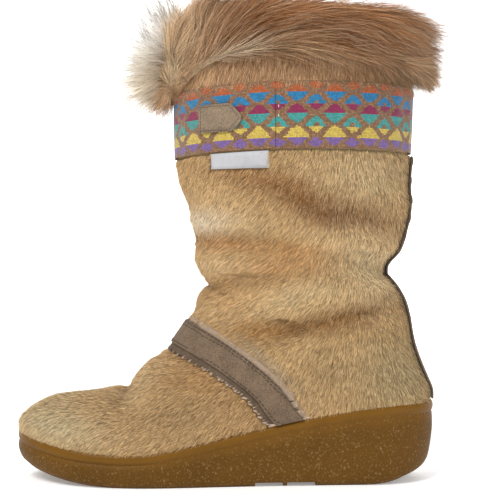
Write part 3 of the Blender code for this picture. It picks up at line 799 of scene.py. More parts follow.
def hair_bend(board, here):
    """How far each part of a hair is moved: towards its lock, along the sweep and in waves."""
    along = board.read("along")
    gathered = board.scaled(board.read("pull", "FLOAT_VECTOR"), board.inlet("Gather") * along)
    bent = board.scaled(board.read("sweep", "FLOAT_VECTOR"), board.read("size") * along * along)
    waves = {"Vector": here, "Scale": 1.0 / board.inlet("Wave span"), "Detail": 1.0}
    ripple = board.node("ShaderNodeTexNoise", waves, out=1)
    ripple = board.vectors("SUBTRACT", ripple, (0.5, 0.5, 0.5))
    waved = board.scaled(ripple, board.inlet("Wave") * along)
    return board.vectors("ADD", board.vectors("ADD", gathered, bent), waved)


def hair_recipe():
    """Blades scattered over a skin, laid along its comb, gathered into locks and bent along its sweep."""
    board = Recipe("combed hair", [(name, kind) for kind, names in HAIR_INPUTS.items() for name in names])
    skin = board.inlet("Geometry")
    seed = board.inlet("Seed")
    thick = board.read("thick")
    here = board.node("GeometryNodeInputPosition")
    roots = board.scattered(skin, board.inlet("Density") * thick, seed)
    locks = board.scattered(skin, board.inlet("Locks") * thick, seed + 1)
    covers = board.shape("Covers")
    points = told(board, uncovered(board, roots, covers, here), locks, here, seed)
    turn = hair_turn(board, roots.also("Normal"), covers)
    length = board.read("size")
    width = board.inlet("Width") * board.random(0.6, 1.3, 15)
    scale = board.node("ShaderNodeCombineXYZ", {"X": length, "Y": width, "Z": length})
    hairs = board.copies(points, "Blade", Rotation=turn, Scale=scale)
    bent = {"Geometry": hairs, "Offset": hair_bend(board, here)}
    board.finish(board.node("GeometryNodeSetPosition", bent))
    return board


def stitch_recipe():
    """Short threads laid along a line, one every pitch."""
    board = Recipe("stitches", (("Pitch", "Float"), ("Thread", "Object"), ("Material", "Material")))
    line = board.node("GeometryNodeMeshToCurve", {"Mesh": board.inlet("Geometry")})
    pitch = {"Curve": line, "Length": board.inlet("Pitch")}
    points = board.node("GeometryNodeCurveToPoints", pitch, mode="LENGTH")
    board.finish(board.copies(points, "Thread", Rotation=points.also("Rotation")))
    return board


# ---------------------------------------------------------------- small shapes that are repeated

def blade(segments, taper):
    """A flat hair, one unit long along X and one wide at its root, closing to a point."""
    body = bmesh.new()
    along = body.verts.layers.float.new("along")
    pairs = []
    for step in range(segments):
        share = step / segments
        half = 0.5 * (1 - share**taper)
        pair = [body.verts.new((share, side * half, 0.0)) for side in (-1, 1)]
        for vertex in pair:
            vertex[along] = share
        pairs.append(pair)
    tip = body.verts.new((1.0, 0.0, 0.0))
    tip[along] = 1.0
    for (left, right), (next_left, next_right) in zip(pairs, pairs[1:]):
        body.faces.new((left, next_left, next_right, right))
    body.faces.new((pairs[-1][0], tip, pairs[-1][1]))
    return bpy.data.objects.new("blade", mesh_of("blade", body))


def thread(length, thickness):
    """One visible stitch: a short thread along Z, rounded and thin at both ends."""
    body = bmesh.new()
    bmesh.ops.create_uvsphere(body, u_segments=6, v_segments=6, radius=1.0)
    for vertex in body.verts:
        x, y, z = vertex.co
        vertex.co = Vector((x * thickness / 2, y * thickness / 2, z * length / 2)) * MM
    return bpy.data.objects.new("thread", mesh_of("thread", body))


def line_object(lines):
    """A hidden mesh of open lines, each a list of points in millimetres."""
    vertices = [tuple(np.asarray(point) * MM) for line in lines for point in line]
    edges = []
    start = 0
    for line in lines:
        edges += [(start + step, start + step + 1) for step in range(len(line) - 1)]
        start += len(line)
    mesh = bpy.data.meshes.new("lines")
    mesh.from_pydata(vertices, edges, [])
    return linked("lines", mesh)


def stitched(name, lines, pitch, length, thickness, finish, slot):
    """A piece of stitches along lines."""
    sample = thread(length, thickness)
    source = line_object(lines)
    values = {"Pitch": pitch * MM, "Thread": sample, "Material": finish}
    mesh = stitch_recipe().run(name, source, values)
    discard(source, sample)
    return seat(new_piece(name, mesh, finish), slot)


def grown(name, skin, sample, covers, finish, slot, **sizes):
    """A piece of hair on a skin. Lengths are in millimetres, Density and Locks to a square millimetre."""
    values = {"Blade": sample, "Covers": covers, "Material": finish}
    for label, value in sizes.items():
        label = label.replace("_", " ")
        if label in ("Length", "Width", "Wave", "Wave span", "Cover depth"):
            value *= MM
        if label in ("Density", "Locks"):
            value /= MM**2
        values[label] = value
    mesh = hair_recipe().run(name, skin, values)
    for extra in ("pull", "sweep", "comb", "size", "thick", "tall"):
        if extra in mesh.attributes:
            mesh.attributes.remove(mesh.attributes[extra])
    return seat(new_piece(name, mesh, finish), slot)


# ---------------------------------------------------------------- finishes

DARK_HAIRS = 0.13  # share of the hairs that are dark
HAIR_SHADE = 1.14  # mean shade of the hairs
LOCK_SHADE = 0.99  # and of the locks


def hair_finish(
    name, dark, tip, root=0.5, tips=0.35, tip_from=0.0, tipped=0.3, hair_spread=0.44, lock_spread=0.3
):
    """Hair over a coat colour: darker roots, other tips, and every hair and lock a little different."""
    finish = Finish(name, roughness=0.55, Specular_IOR_Level=0.25, Sheen_Weight=0.12)
    along = finish.value("along")
    tint = finish.value("tint")
    lock = finish.value("lock")
    shade = root + (1 - root) * finish.clamped(along * 2.5)
    shade = shade * (HAIR_SHADE - hair_spread / 2 + hair_spread * tint)
    shade = shade * (LOCK_SHADE - lock_spread / 2 + lock_spread * lock)
    colour = finish.scaled(finish.colour("coat"), shade)
    colour = finish.mix((tint < DARK_HAIRS) * 0.6, colour, linear(dark))
    outer = finish.clamped((along - tip_from) / (1 - tip_from))
    colour = finish.mix((tint > 1 - tipped) * outer * tips, colour, linear(tip))
    finish.set("Base Color", colour)
    return finish.material


def skin_finish(name):
    """The hide under the hair, in painted shade: its coat colour darkened and mottled."""
    finish = Finish(name, roughness=0.8)
    grain = finish.grain(1.4)
    # painted shade under the hair: the coat colour at 0.35 to 0.85 of itself, mottled by the grain
    finish.set("Base Color", finish.scaled(finish.colour("coat"), 0.35 + 0.5 * grain))
    finish.bump(grain, 0.5)
    return finish.material


def fleece_finish():
    """Curly cream pile inside the boot, with painted shade in the hollows between its curls."""
    finish = Finish("fleece", roughness=0.95, Sheen_Weight=0.3)
    curls = finish.grain(3.2, detail=4.0, roughness=0.7)
    stain = finish.grain(30.0)
    # painted shade: the colour follows the curls' relief, darker where it dips
    colour = finish.ramp(curls, (0.3, linear("#8f7c60")), (0.62, linear("#d8cbb0")))
    finish.set("Base Color", finish.mix(stain * 0.4, colour, linear("#b39f80")))
    finish.bump(curls, 2.2)
    return finish.material


def suede_finish(name, base):
    """Matt split leather: a fine nap, brushed blotches and a pale cut rim where the mesh marks one."""
    finish = Finish(name, roughness=0.92, Specular_IOR_Level=0.15, Sheen_Weight=0.04)
    nap = finish.grain(0.8, detail=4.0, roughness=0.7)
    brushed = finish.grain(7.0, detail=4.0)
    fibres = finish.grain(0.8, roughness=0.8)
    colour = finish.mix(finish.mask(brushed, 0.35, 0.68), times(base, 1.05), times(base, 1.45))
    colour = finish.mix(finish.mask(nap, 0.45, 0.75, high=0.75), colour, times(base, 0.45))
    colour = finish.mix(finish.mask(fibres, 0.52, 0.62, high=0.55), colour, times(base, 2.4))
    colour = finish.mix(finish.mask(fibres, 0.37, 0.47, low=0.6, high=0.0), colour, times(base, 0.4))
    rim = finish.clamped((finish.value("rim") - 0.28) / 0.45)
    colour = finish.mix(rim * 0.9, colour, linear("#d9c0aa"))
    finish.set("Base Color", colour)
    finish.bump(nap, 0.45)
    return finish.material


def rubber_finish(base):
    """Crumb rubber: ochre flecks and painted shade in the pits of the wedge, and a smooth moulded band
    along its top.
    """
    finish = Finish("crumb_rubber", roughness=0.5, Specular_IOR_Level=0.16)
    below = finish.value("below")
    band = finish.clamped((10.5 - below) / 7.0)
    crumbs = finish.grain(1.3, detail=2.0, roughness=0.7)
    cloud = finish.grain(26.0, detail=2.0)
    wedge = finish.mix(cloud, times(base, 0.78), times(base, 1.25))
    flecks = finish.mask(crumbs, 0.57, 0.7)
    wedge = finish.mix(flecks * 0.45, wedge, linear("#a3895c"))
    # painted shade: the low spots of the crumb relief are darkened
    pits = finish.mask(crumbs, 0.26, 0.38, low=1.0, high=0.0)
    wedge = finish.mix(pits * 0.5, wedge, times(base, 0.4))
    lip = finish.mix(cloud, times(base, 1.15), times(base, 1.7))
    colour = finish.mix(band, wedge, lip)
    finish.set("Base Color", colour)
    finish.set("Roughness", 0.62 - 0.18 * band)
    finish.bump(crumbs * (1.0 - 0.85 * band), 0.35)
    return finish.material


def ribbon_finish():
    """Woven yarn: each float is a soft ridge, painted darker as it dips towards its edges, with fine twist
    in its colour.
    """
    finish = Finish("woven_yarn", roughness=0.8, Sheen_Weight=0.2)
    parts = finish.node("ShaderNodeSeparateXYZ", {"Vector": finish.node("ShaderNodeUVMap", uv_map="Weave")})
    across = finish.maths("FRACT", parts)
    up = finish.maths("FRACT", parts.also("Y"))
    hump = 4.0 * up * (1.0 - up) * (0.4 + 2.4 * across * (1.0 - across))
    twist = finish.grain(0.35, detail=2.0)
    # painted shade: each float is darker where its ridge dips towards its edges; the twist is the yarn's
    # own colour
    shade = (0.66 + 0.34 * hump) * (0.72 + 0.56 * twist)
    finish.set("Base Color", finish.scaled(finish.colour("yarn"), shade))
    finish.bump(hump + 0.3 * twist, 0.35)
    return finish.material


def plain_finish(name, colour, second, grain, depth, roughness=0.85):
    """Thread, cloth or felt: two close colours and a fine relief."""
    finish = Finish(name, roughness=roughness)
    tuft = finish.grain(grain)
    finish.set("Base Color", finish.mix(tuft, linear(colour), linear(second)))
    finish.bump(tuft, depth)
    return finish.material


def label_finish(base):
    """The bare woven label: close pale threads both ways, with painted shade between them."""
    finish = Finish("label_weave", roughness=0.75)
    parts = finish.node("ShaderNodeSeparateXYZ", {"Vector": finish.stretched((0.7, 0.7, 0.55))})
    warp = finish.maths("FRACT", parts)
    weft = finish.maths("FRACT", parts.also("Z"))
    hump = 2.0 * (warp * (1.0 - warp) + weft * (1.0 - weft))
    soil = finish.grain(5.0)
    colour = finish.mix(soil, times(base, 0.85), times(base, 1.15))
    # painted shade: darker where the threads' relief dips between them
    finish.set("Base Color", finish.scaled(colour, 0.78 + 0.22 * hump))
    finish.bump(hump, 0.2)
    return finish.material


# ---------------------------------------------------------------- hide and nap

# Parts that no hair grows through.
TRIMS = ("woven_band", "instep_strap_pinked", "back_stay_pinked", "suede_tab", "label_tab", "outsole")
LABEL_REACH = 16.0  # no nap this near to the label's middle, under the label
COLLAR_TOP_Z = 268.0  # the collar's own hair ends here, inside the cuff
RIM_REACH = 7.0  # the sole's rim is the highest point this near, along the boot


def on_outer_wall(points, facing, tree):
    """Whether each vertex is on the outer wall: just off an inner one, the way out is blocked."""
    flags = np.empty(len(points), dtype=bool)
    for spot, (point, normal) in enumerate(zip(points, facing)):
        start = Vector((point + normal * 0.6) * MM)
        way = Vector((0.0, math.copysign(1.0, point[1]), 0.0))
        flags[spot] = tree.ray_cast(start, way)[0] is None
    return flags


def make_hide(colours):
    """The upper with its folds, its skin and the fleece inside."""
    mesh = refined("upper")
    points = places(mesh)
    facing = facings(mesh)
    outer = on_outer_wall(points, facing, tree_of(mesh))
    outward = np.where(outer[:, None], facing, -facing)
    over_sole = fade(points[:, 2] - sole_rim(points[:, 0]), 3.0, 13.0)
    height = (fold_height(points) + slack_height(points)) * over_sole
    ribbon_low, _ = ribbon_edges(points)
    height *= fade(ribbon_low - points[:, 2], 0.0, 8.0)
    sunk = outward * height[:, None]
    place(mesh, points + sunk)
    mark(mesh, "sunk", sunk, "FLOAT_VECTOR")
    mark(mesh, "outer", outer.astype(float))
    # The coat colour carries painted highlight on the folds' ridges and painted shade in their troughs.
    mark(mesh, "coat", toned(points, colours.hide, HIDE_TONES), "FLOAT_COLOR")
    piece = new_piece("hide_upper", mesh, skin_finish("hide_skin"))
    mesh.materials.append(fleece_finish())
    corners = np.array([outer[list(polygon.vertices)].mean() for polygon in mesh.polygons])
    mesh.polygons.foreach_set("material_index", (corners < 0.5).astype(np.int32))
    return seat(piece, "hide", "upper")


def read_attribute(mesh, name, width=1):
    """A named attribute as an array."""
    field = "value" if width == 1 else "vector"
    flat = np.empty(len(mesh.vertices) * width, dtype=np.float32)
    mesh.attributes[name].data.foreach_get(field, flat)
    return flat.reshape(-1, width).astype(float) if width > 1 else flat.astype(float)


_settling = {}  # the hide before it sank, and how far, kept for settled()


def near_tree(points):
    """A search tree for the points nearest to a place."""
    tree = KDTree(len(points))
    for spot, point in enumerate(points):
        tree.insert(point, spot)
    tree.balance()
    return tree


def settled(points):
    """Points moved as far as the folds sank the hide under them."""
    if not _settling:
        hide = bpy.data.objects["hide_upper"].data
        keep = read_attribute(hide, "outer") > 0.5
        sunk = read_attribute(hide, "sunk", 3)[keep]
        _settling.update(tree=near_tree(places(hide)[keep] - sunk), sunk=sunk)
    moved = np.array(points, dtype=float)
    for spot, point in enumerate(points):
        found = _settling["tree"].find_n(point, 4)
        weights = np.array([1 / (0.3 + gap) for _, _, gap in found])
        moved[spot] += weights @ _settling["sunk"][[which for _, which, _ in found]] / weights.sum()
    return moved


def sole_rim(x):
    """The height of the sole's top edge at x."""
    points = places(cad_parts["outsole"].data)
    bins = np.linspace(points[:, 0].min(), points[:, 0].max(), 40)
    tops = [points[np.abs(points[:, 0] - spot) < RIM_REACH][:, 2].max() for spot in bins]
    return np.interp(x, bins, tops)


def ribbon_edges(points):
    """The heights of the ribbon's lower and upper edges at each point's place round the shaft."""
    ring = places(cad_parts["woven_band"].data)
    around = np.arctan2(ring[:, 1], ring[:, 0] - COLLAR_MIDDLE_X)
    wanted = np.arctan2(points[:, 1], points[:, 0] - COLLAR_MIDDLE_X)
    edges = []
    for edge in (ring[:, 2] < RIBBON_LOW_Z, ring[:, 2] > RIBBON_HIGH_Z):
        order = np.argsort(around[edge])
        edges.append(np.interp(wanted, around[edge][order], ring[edge][order, 2], period=2 * math.pi))
    return edges


def covers_object():
    """A hidden object of the trims that no hair grows through."""
    body = bmesh.new()
    for node in TRIMS:
        body.from_mesh(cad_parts[node].data)
    mesh = mesh_of("covers", body)
    place(mesh, settled(places(mesh)))
    return bpy.data.objects.new("covers", mesh)


def skin_of(piece):
    """A hidden copy of a piece for hair to grow on."""
    return linked("skin", piece.data.copy())


def remark(skin, **fields):
    """Writes the fields that the hair recipe reads."""
    for name, values in fields.items():
        kind = "FLOAT_VECTOR" if np.ndim(values) == 2 else "FLOAT"
        if name in skin.data.attributes:
            skin.data.attributes.remove(skin.data.attributes[name])
        mark(skin.data, name, values, kind)


def recoat(skin, colour):
    """Gives a skin another coat colour."""
    skin.data.attributes.remove(skin.data.attributes["coat"])
    mark(skin.data, "coat", colour, "FLOAT_COLOR")


def make_nap(sizes, colours):
    """Short hair over the hide, in three pieces: foot, shaft and the strip over the ribbon."""
    skin = skin_of(bpy.data.objects["hide_upper"])
    points = places(skin.data)
    facing = facings(skin.data)
    outer = read_attribute(skin.data, "outer") > 0.5
    covers = covers_object()
    open_hide = outer & (facing[:, 2] > -0.75)
    ribbon_low, ribbon_high = ribbon_edges(points)
    label_low, label_high = (np.array(corner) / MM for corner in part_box("label_tab"))
    near_label = np.abs(points[:, 0] - (label_low + label_high)[0] / 2) < LABEL_REACH
    under_label = (points[:, 1] < 0) & (points[:, 2] > label_low[2]) & near_label
    below_ribbon = (points[:, 2] < ribbon_low + 2.0) & ~under_label
    over_ribbon = (points[:, 2] > ribbon_high - 1.0) & (points[:, 2] < COLLAR_TOP_Z)
    split = points[:, 2] > sizes.nap_split / MM
    finish = hair_finish(
        "nap_hair", "#62401c", "#f4e4c0", root=0.42, tips=0.45, hair_spread=0.85, lock_spread=0.4
    )
    sample = blade(1, 1.0)
    shared = dict(
        Width=0.36, Roll=0.9, Locks=1.2, Gather=0.18,
        Wave=0.0, Wave_span=5.0, Cover_depth=3.0, Cover_lift=0.5,
    )
    straight = np.zeros_like(points)
    remark(skin, comb=combed(points, facing, NAP_STROKES), sweep=straight, tall=np.ones(len(points)))
    for name, part, seed in (
        ("nap_shaft", open_hide & below_ribbon & split, 3),
        ("nap_foot", open_hide & below_ribbon & ~split, 5),
    ):
        remark(skin, thick=part.astype(float))
        grown(
            name, skin, sample, covers, finish, "hide",
            Density=sizes.nap_density, Length=sizes.nap_length / MM,
            Lift=0.26, Frizz=0.17, Seed=seed, **shared,
        )
    hanging = combed(points, facing, COLLAR_STROKES)
    remark(skin, comb=hanging, thick=(outer & over_ribbon).astype(float))
    recoat(skin, toned(points, colours.collar, COLLAR_TONES))
    grown(
        "nap_collar", skin, sample, covers, finish, "fur",
        Density=3.3, Length=6.5, Lift=0.25, Frizz=0.25, Seed=7, **shared,
    )
    discard(skin, covers, sample)


# ---------------------------------------------------------------- fur cuff

FRONT_ROLL_X = -31.0
ROLL_MIDDLE = (-20.0, 0.0, 258.0)
CUFF_INSET = 4.0  # the hair's roots lie this far inside the cuff's outline
FRONT_INSET = 4.0  # and this far in the front roll
FRONT_ROUNDS = 30  # how much the front roll is rounded off under its hair
HAIR_ROOM = ((1, -82.0, 81.0), (2, 0.0, 316.5))  # axis, lowest and highest place of the long hair
ROLL_EDGE_Z = (232.0, 246.0, 257.0, 275.0, 293.0)  # where the roll's pale hair begins
ROLL_EDGE_X = (-41.0, -41.0, -39.0, -33.0, -25.0)
COLLAR_CORNER_X = (-34.0, -31.0, -26.0, -21.0, -14.0, -2.0, 12.0)  # the cuff's lower edge in front
COLLAR_CORNER_Z = (238.0, 246.0, 250.0, 254.0, 257.0, 258.5, 250.0)
COLLAR_CORNER_HALF = (2.0, 10.0, 19.0, 25.0, 32.0, 40.0, 45.0)  # half width that is inside the collar

# Corners of the cuff where the hair has another length: the x where each begins and is whole, then the z.
LOW_FRONT = ((14.0, 4.0), (262.0, 256.0))
HANGING_FRONT = ((-31.0, -34.0), (252.0, 247.0))
TOP_BACK = ((60.0, 90.0), (280.0, 288.0))
LOW_BACK = ((112.0, 124.0), (254.0, 246.0))
LOOSE_HAIR = {"Roll": 0.9, "Cover_depth": 0.0, "Cover_lift": 0.0}  # what all the cuff's hair shares


def field_ahead(points, field, distance):
    """The field's value at the place each point's own field value leads to."""
    tree = near_tree(points)
    return np.array([field[tree.find(point)[1]] for point in points + field * distance])


def front_share(points):
    """How far each point of the cuff belongs to the pale roll in front."""
    edge = np.interp(points[:, 2], ROLL_EDGE_Z, ROLL_EDGE_X)
    return np.clip((edge - points[:, 0]) / 6.0 + 0.5, 0, 1)


def behind_collar(points):
    """How far each point of the cuff lies in the low front corners, where the collar shows instead."""
    low_edge = np.interp(points[:, 0], COLLAR_CORNER_X, COLLAR_CORNER_Z)
    below = fade(low_edge + 4.0 - points[:, 2], 0.0, 11.0)
    return below * fade(points[:, 0], COLLAR_CORNER_X[0], COLLAR_CORNER_X[0] + 3.0)


def within(points, corner):
    """How far each point lies in one of the cuff's corners."""
    (start_x, whole_x), (start_z, whole_z) = corner
    return fade(points[:, 0], start_x, whole_x) * fade(points[:, 2], start_z, whole_z)


def held_in(piece):
    """Bends hair that stands too far out back into the room that it has."""
    points = places(piece.data)
    for axis, low, high in HAIR_ROOM:
        inside = np.clip(points[:, axis], low, high)
        points[:, axis] = inside + (points[:, axis] - inside) * 0.1
    place(piece.data, points)


def soft_cuff():
    """The cuff's body, drawn in under its hair, with its points.

    The last two values say how far each point lies at the back and in the low front corners.
    """
    mesh = shaped(
        "cuff",
        mesh_of("cuff", welded("fur_cuff")),
        ("REMESH", {"mode": "VOXEL", "voxel_size": 0.0032, "use_smooth_shade": True}),
        ("SMOOTH", {"factor": 0.8, "iterations": 25}),
    )
    facing = facings(mesh)
    points = places(mesh)
    front = fade(points[:, 0], FRONT_ROLL_X, FRONT_ROLL_X - 5.0)
    back = fade(points[:, 0], 95.0, 130.0)
    inset = CUFF_INSET * np.clip(1 + 1.5 * facing[:, 2], 0, 1) * (1 - front) + FRONT_INSET * front
    points = relaxed(mesh, points - facing * inset[:, None], 0.9 * front, FRONT_ROUNDS)
    hidden = behind_collar(points)
    # The low front corners are drawn into the collar, and the top of the front roll leans back.
    half = np.interp(points[:, 0], COLLAR_CORNER_X, COLLAR_CORNER_HALF)
    points[:, 1] += 0.65 * hidden * (np.sign(points[:, 1]) * half - points[:, 1])
    high = fade(points[:, 2], 262.0, 282.0) * front
    points[:, 0] += high * 0.6 * (FRONT_ROLL_X - points[:, 0])
    place(mesh, points)
    return mesh, points, back, hidden


def cuff_tallness(points, inward, back, hidden):
    """The length of the long fur at each point, as a share of its full length."""
    tall = np.where(inward, 0.45, 1.0 - 0.5 * back)
    tall = tall * (1.0 - 0.68 * within(points, LOW_FRONT)) * (1.0 + 0.5 * within(points, TOP_BACK))
    tall = tall * (1.0 - 0.75 * hidden) * (1.0 - 0.5 * within(points, LOW_BACK))
    return np.maximum(tall, 0.62 * within(points, HANGING_FRONT))


def grow_long_fur(skin, points, sample, length, density, thick):
    """The long brown fur on both sides of the cuff."""
    finish = hair_finish("long_fur", "#452912", "#dcc6a4", root=0.4, tips=0.65, hair_spread=1.0)
    for name, side, seed in (
        ("cuff_fur_outer", points[:, 1] < 0, 21),
        ("cuff_fur_inner", points[:, 1] >= 0, 23),
    ):
        remark(skin, thick=thick * side)
        long_fur = grown(
            name, skin, sample, None, finish, "fur",
            Density=density, Length=length, Width=0.25, Lift=0.22, Frizz=0.27,
            Locks=0.08, Gather=0.3, Wave=6.0, Wave_span=16.0, Seed=seed, **LOOSE_HAIR,
        )
        held_in(long_fur)


def grow_roll(skin, points, facing, sample, front, colours):
    """The pale tufts of the front roll, their grey tips and the long wisps over them."""
    away = unit(points - np.array(ROLL_MIDDLE) * (1.0, 0.0, 1.0) - points * (0.0, 0.45, 0.0))
    away = unit(away + (0.0, 0.0, 0.15))
    drooping = np.tile((0.0, 0.0, -0.12), (len(points), 1))
    tufts = 0.95 + 0.6 * np.array([noise.noise(Vector(point) / 6.0) for point in points])
    sparse_top = np.maximum(fade(points[:, 2], 286.0, 262.0), 0.25)
    remark(skin, comb=away, sweep=drooping, tall=tufts, thick=front * sparse_top)
    recoat(skin, toned(points + away * 5.0, colours.roll, ROLL_TONES))
    pale = hair_finish("pale_fur", "#9a8f80", "#ffffff", root=0.75, tips=0.5)
    grown(
        "front_roll_fur", skin, sample, None, pale, "fur",
        Density=3.2, Length=12.0, Width=0.28, Lift=0.45, Frizz=0.5,
        Locks=0.05, Gather=0.3, Wave=5.0, Wave_span=12.0, Seed=31, **LOOSE_HAIR,
    )
    recoat(skin, toned(points + away * 12.0, colours.roll, ROLL_TONES))
    grey = hair_finish(
        "grey_tips", "#a0968a", "#40382f", root=0.8, tips=1.0, tip_from=0.6, tipped=0.6, hair_spread=0.3
    )
    grown(
        "front_roll_tips", skin, sample, None, grey, "fur",
        Density=1.2, Length=24.0, Width=0.28, Lift=0.35, Frizz=0.4,
        Locks=0.04, Gather=0.5, Wave=8.0, Wave_span=14.0, Seed=33, **LOOSE_HAIR,
    )
    up = np.tile(unit(np.array((-0.3, 0.0, 1.0))), (len(points), 1))
    remark(skin, comb=up, tall=np.ones(len(points)), thick=front * (facing[:, 2] > 0.1))
    recoat(skin, toned(points, colours.wisps, ()))
    thin = hair_finish("wisps", "#6f675c", "#e4ded3", root=0.8, tips=0.5)
    wisps = grown(
        "front_wisps", skin, sample, None, thin, "fur",
        Density=0.13, Length=42.0, Width=0.36, Lift=0.25, Frizz=0.3,
        Locks=0.03, Gather=0.5, Wave=9.0, Wave_span=25.0, Seed=37, **LOOSE_HAIR,
    )
    held_in(wisps)


def make_cuff(sizes, colours):
    """The cuff's soft body, the long fur round it, and the pale roll that stands out in front."""
    mesh, points, back, hidden = soft_cuff()
    facing = facings(mesh)
    front = front_share(points)
    radial = np.column_stack((points[:, 0] - COLLAR_MIDDLE_X, points[:, 1], np.zeros(len(points))))
    inward = (facing * unit(radial)).sum(axis=1) < -0.15
    comb = combed(points, facing, CUFF_STROKES)
    length = sizes.fur_length / MM
    # The coat colour carries the cuff's painted highlight and painted shade.
    coat = toned(points + comb * length * 0.5, colours.cuff, CUFF_TONES)
    coat += 0.8 * hidden[:, None] * (toned(points, colours.collar, COLLAR_TONES) - coat)
    mark(mesh, "coat", coat, "FLOAT_COLOR")
    under = new_piece("cuff_body", mesh, skin_finish("cuff_skin"))
    seat(under, "fur", "fur_cuff")

    skin = skin_of(under)
    sweep = 0.5 * (field_ahead(points, comb, length * 0.8) - comb)
    remark(skin, comb=comb, sweep=sweep, tall=cuff_tallness(points, inward, back, hidden))
    sample = blade(3, 1.6)
    thick = np.where(inward, 0.6, 1.0) * (1 - front)
    grow_long_fur(skin, points, sample, length, sizes.fur_density, thick)
    grow_roll(skin, points, facing, sample, front, colours)
    discard(skin, sample)


# ---------------------------------------------------------------- ribbon

def shaft_hit(tree, turn, level):
    """Where a level ray from outside meets the shaft, in metres, and the way out from there."""
    way = Vector((math.cos(turn), math.sin(turn), 0.0))
    start = Vector((COLLAR_MIDDLE_X, 0.0, level)) * MM + way * OUTSIDE
    return tree.ray_cast(start, -way)[0], way


def yarn_at(column, height, ragged):
    """The yarn that shows at a column, in repeats, and a height over the lower edge."""
    wide = RIBBON_LENGTH / RIBBON_REPEATS
    for motif in MOTIFS:
        away = abs((column - motif.column + 0.5) % 1.0 - 0.5) * wide
        share = (height - motif.level) / (motif.tip - motif.level)
        if 0 <= share < 1 and away < motif.half * (1 - share) ** MOTIF_ROUNDNESS + ragged:
            return motif.yarn
    return "ground"


def float_colour(yarns, column, row, chance):
    """The colour of one float: its yarn, a little ragged at a motif's edge and unevenly worn."""
    height = (row + 0.5) / RIBBON_ROWS * RIBBON_WIDTH
    ragged = chance.uniform(-RAGGED, RAGGED)
    yarn = yarn_at((column + 0.5) / RIBBON_CELLS + RIBBON_SHIFT, height, ragged)
    if yarn == "ground" and chance.random() < FLECK_CHANCE:
        yarn = "fleck"
    worn = chance.uniform(*YARN_WEAR)
    return (*(share * worn for share in getattr(yarns, yarn)), 1.0)


def make_ribbon(yarns):
    """The woven ribbon: a grid of weft floats round the shaft, each with its own yarn."""
    tree = node_tree("woven_band")
    start_angle = -math.acos((RIBBON_END_X - COLLAR_MIDDLE_X) / COLLAR_RADIUS)
    angles = start_angle + np.linspace(0, 2 * math.pi, 721)
    ring = np.array([shaft_hit(tree, turn, RIBBON_MIDDLE_Z)[0] for turn in angles]) / MM
    length = np.concatenate(([0.0], np.cumsum(np.linalg.norm(np.diff(ring, axis=0), axis=1))))
    repeat = RIBBON_REPEATS * RIBBON_CELLS
    cell = length[-1] / repeat
    columns = repeat + int(RIBBON_OVERLAP / cell)
    turns = np.interp(np.arange(columns + 1) * cell % length[-1], length, angles)
    around = np.column_stack((COLLAR_MIDDLE_X + np.cos(turns), np.sin(turns), turns))
    body = bmesh.new()
    weave = body.loops.layers.uv.new("Weave")
    yarn_layer = body.faces.layers.float_color.new("yarn")
    grid = []
    for column, (turn, low, high) in enumerate(zip(turns, *ribbon_edges(around))):
        lap = RIBBON_LAP if column > repeat - 2 else 0.0
        stack = []
        for height in np.linspace(low + RIBBON_INSET, high - RIBBON_INSET, RIBBON_ROWS + 1):
            hit, way = shaft_hit(tree, turn, height)
            stack.append(body.verts.new(hit + way * (RIBBON_LIFT + lap) * MM))
        grid.append(stack)
    chance = np.random.default_rng(11)
    for column in range(columns):
        for row in range(RIBBON_ROWS):
            left, right = grid[column], grid[column + 1]
            face = body.faces.new((left[row], right[row], right[row + 1], left[row + 1]))
            face[yarn_layer] = float_colour(yarns, column, row, chance)
            for loop, (u, v) in zip(face.loops, ((0, 0), (1, 0), (1, 1), (0, 1))):
                loop[weave].uv = (column + u, row + v)
    seat(new_piece("ribbon", mesh_of("ribbon", body), ribbon_finish()), "ribbon", "woven_band")
    starts = [Vector((TACK_X, -200.0, level)) * MM for level in np.linspace(*TACK_LEVELS, 7)]
    tacks = [spot + (0.0, -0.5, 0.0) for spot in ray_spots(tree, starts, (0.0, 1.0, 0.0))]
    white = plain_finish("tack_thread", "#d8d2c6", "#efebe2", 0.4, 0.1)
    stitched("ribbon_tacks", [tacks], 5.0, 1.8, 0.5, white, "ribbon")


# ---------------------------------------------------------------- suede and small trims

FEWEST_HITS = 8  # fewer rays than this only graze a strip
STRAP_MIDDLE = 42.0  # from the strap's crest down to the middle of its hoop
STRAP_TURNS = (-48.0, 228.1, 3.0)  # first, last and step of the rays round the hoop, in degrees
STRAP_REACH = (-22.0, 22.0, 0.4)  # and across it
STRAP_SEAMS = (0.09, 0.84, 0.96)  # its rows of stitches, as shares of its width
STAY_SEAM_HALF = 5.7  # from the back seam to the stay's stitches
STAY_SEAM_Z = (152.0, 202.0)
# The tab's seam, as shares of the tab's width and height.
TAB_SEAM = ((0.05, 0.08), (0.05, 0.9), (0.7, 0.93), (0.95, 0.5), (0.7, 0.07), (0.05, 0.08))


def trim(name, node, finish, slot):
    """A smooth copy of a trim, settled on the folded hide."""
    mesh = refined(node)
    place(mesh, settled(places(mesh)))
    return seat(new_piece(name, mesh, finish), slot, node)


def slice_spots(tree, starts, way, shares, lift):
    """Points on a strip at shares of its width, found with a row of parallel rays across it."""
    spots = ray_spots(tree, starts, way, lift)
    if len(spots) < FEWEST_HITS:
        return None
    return [spots[round(share * (len(spots) - 1))] for share in shares]


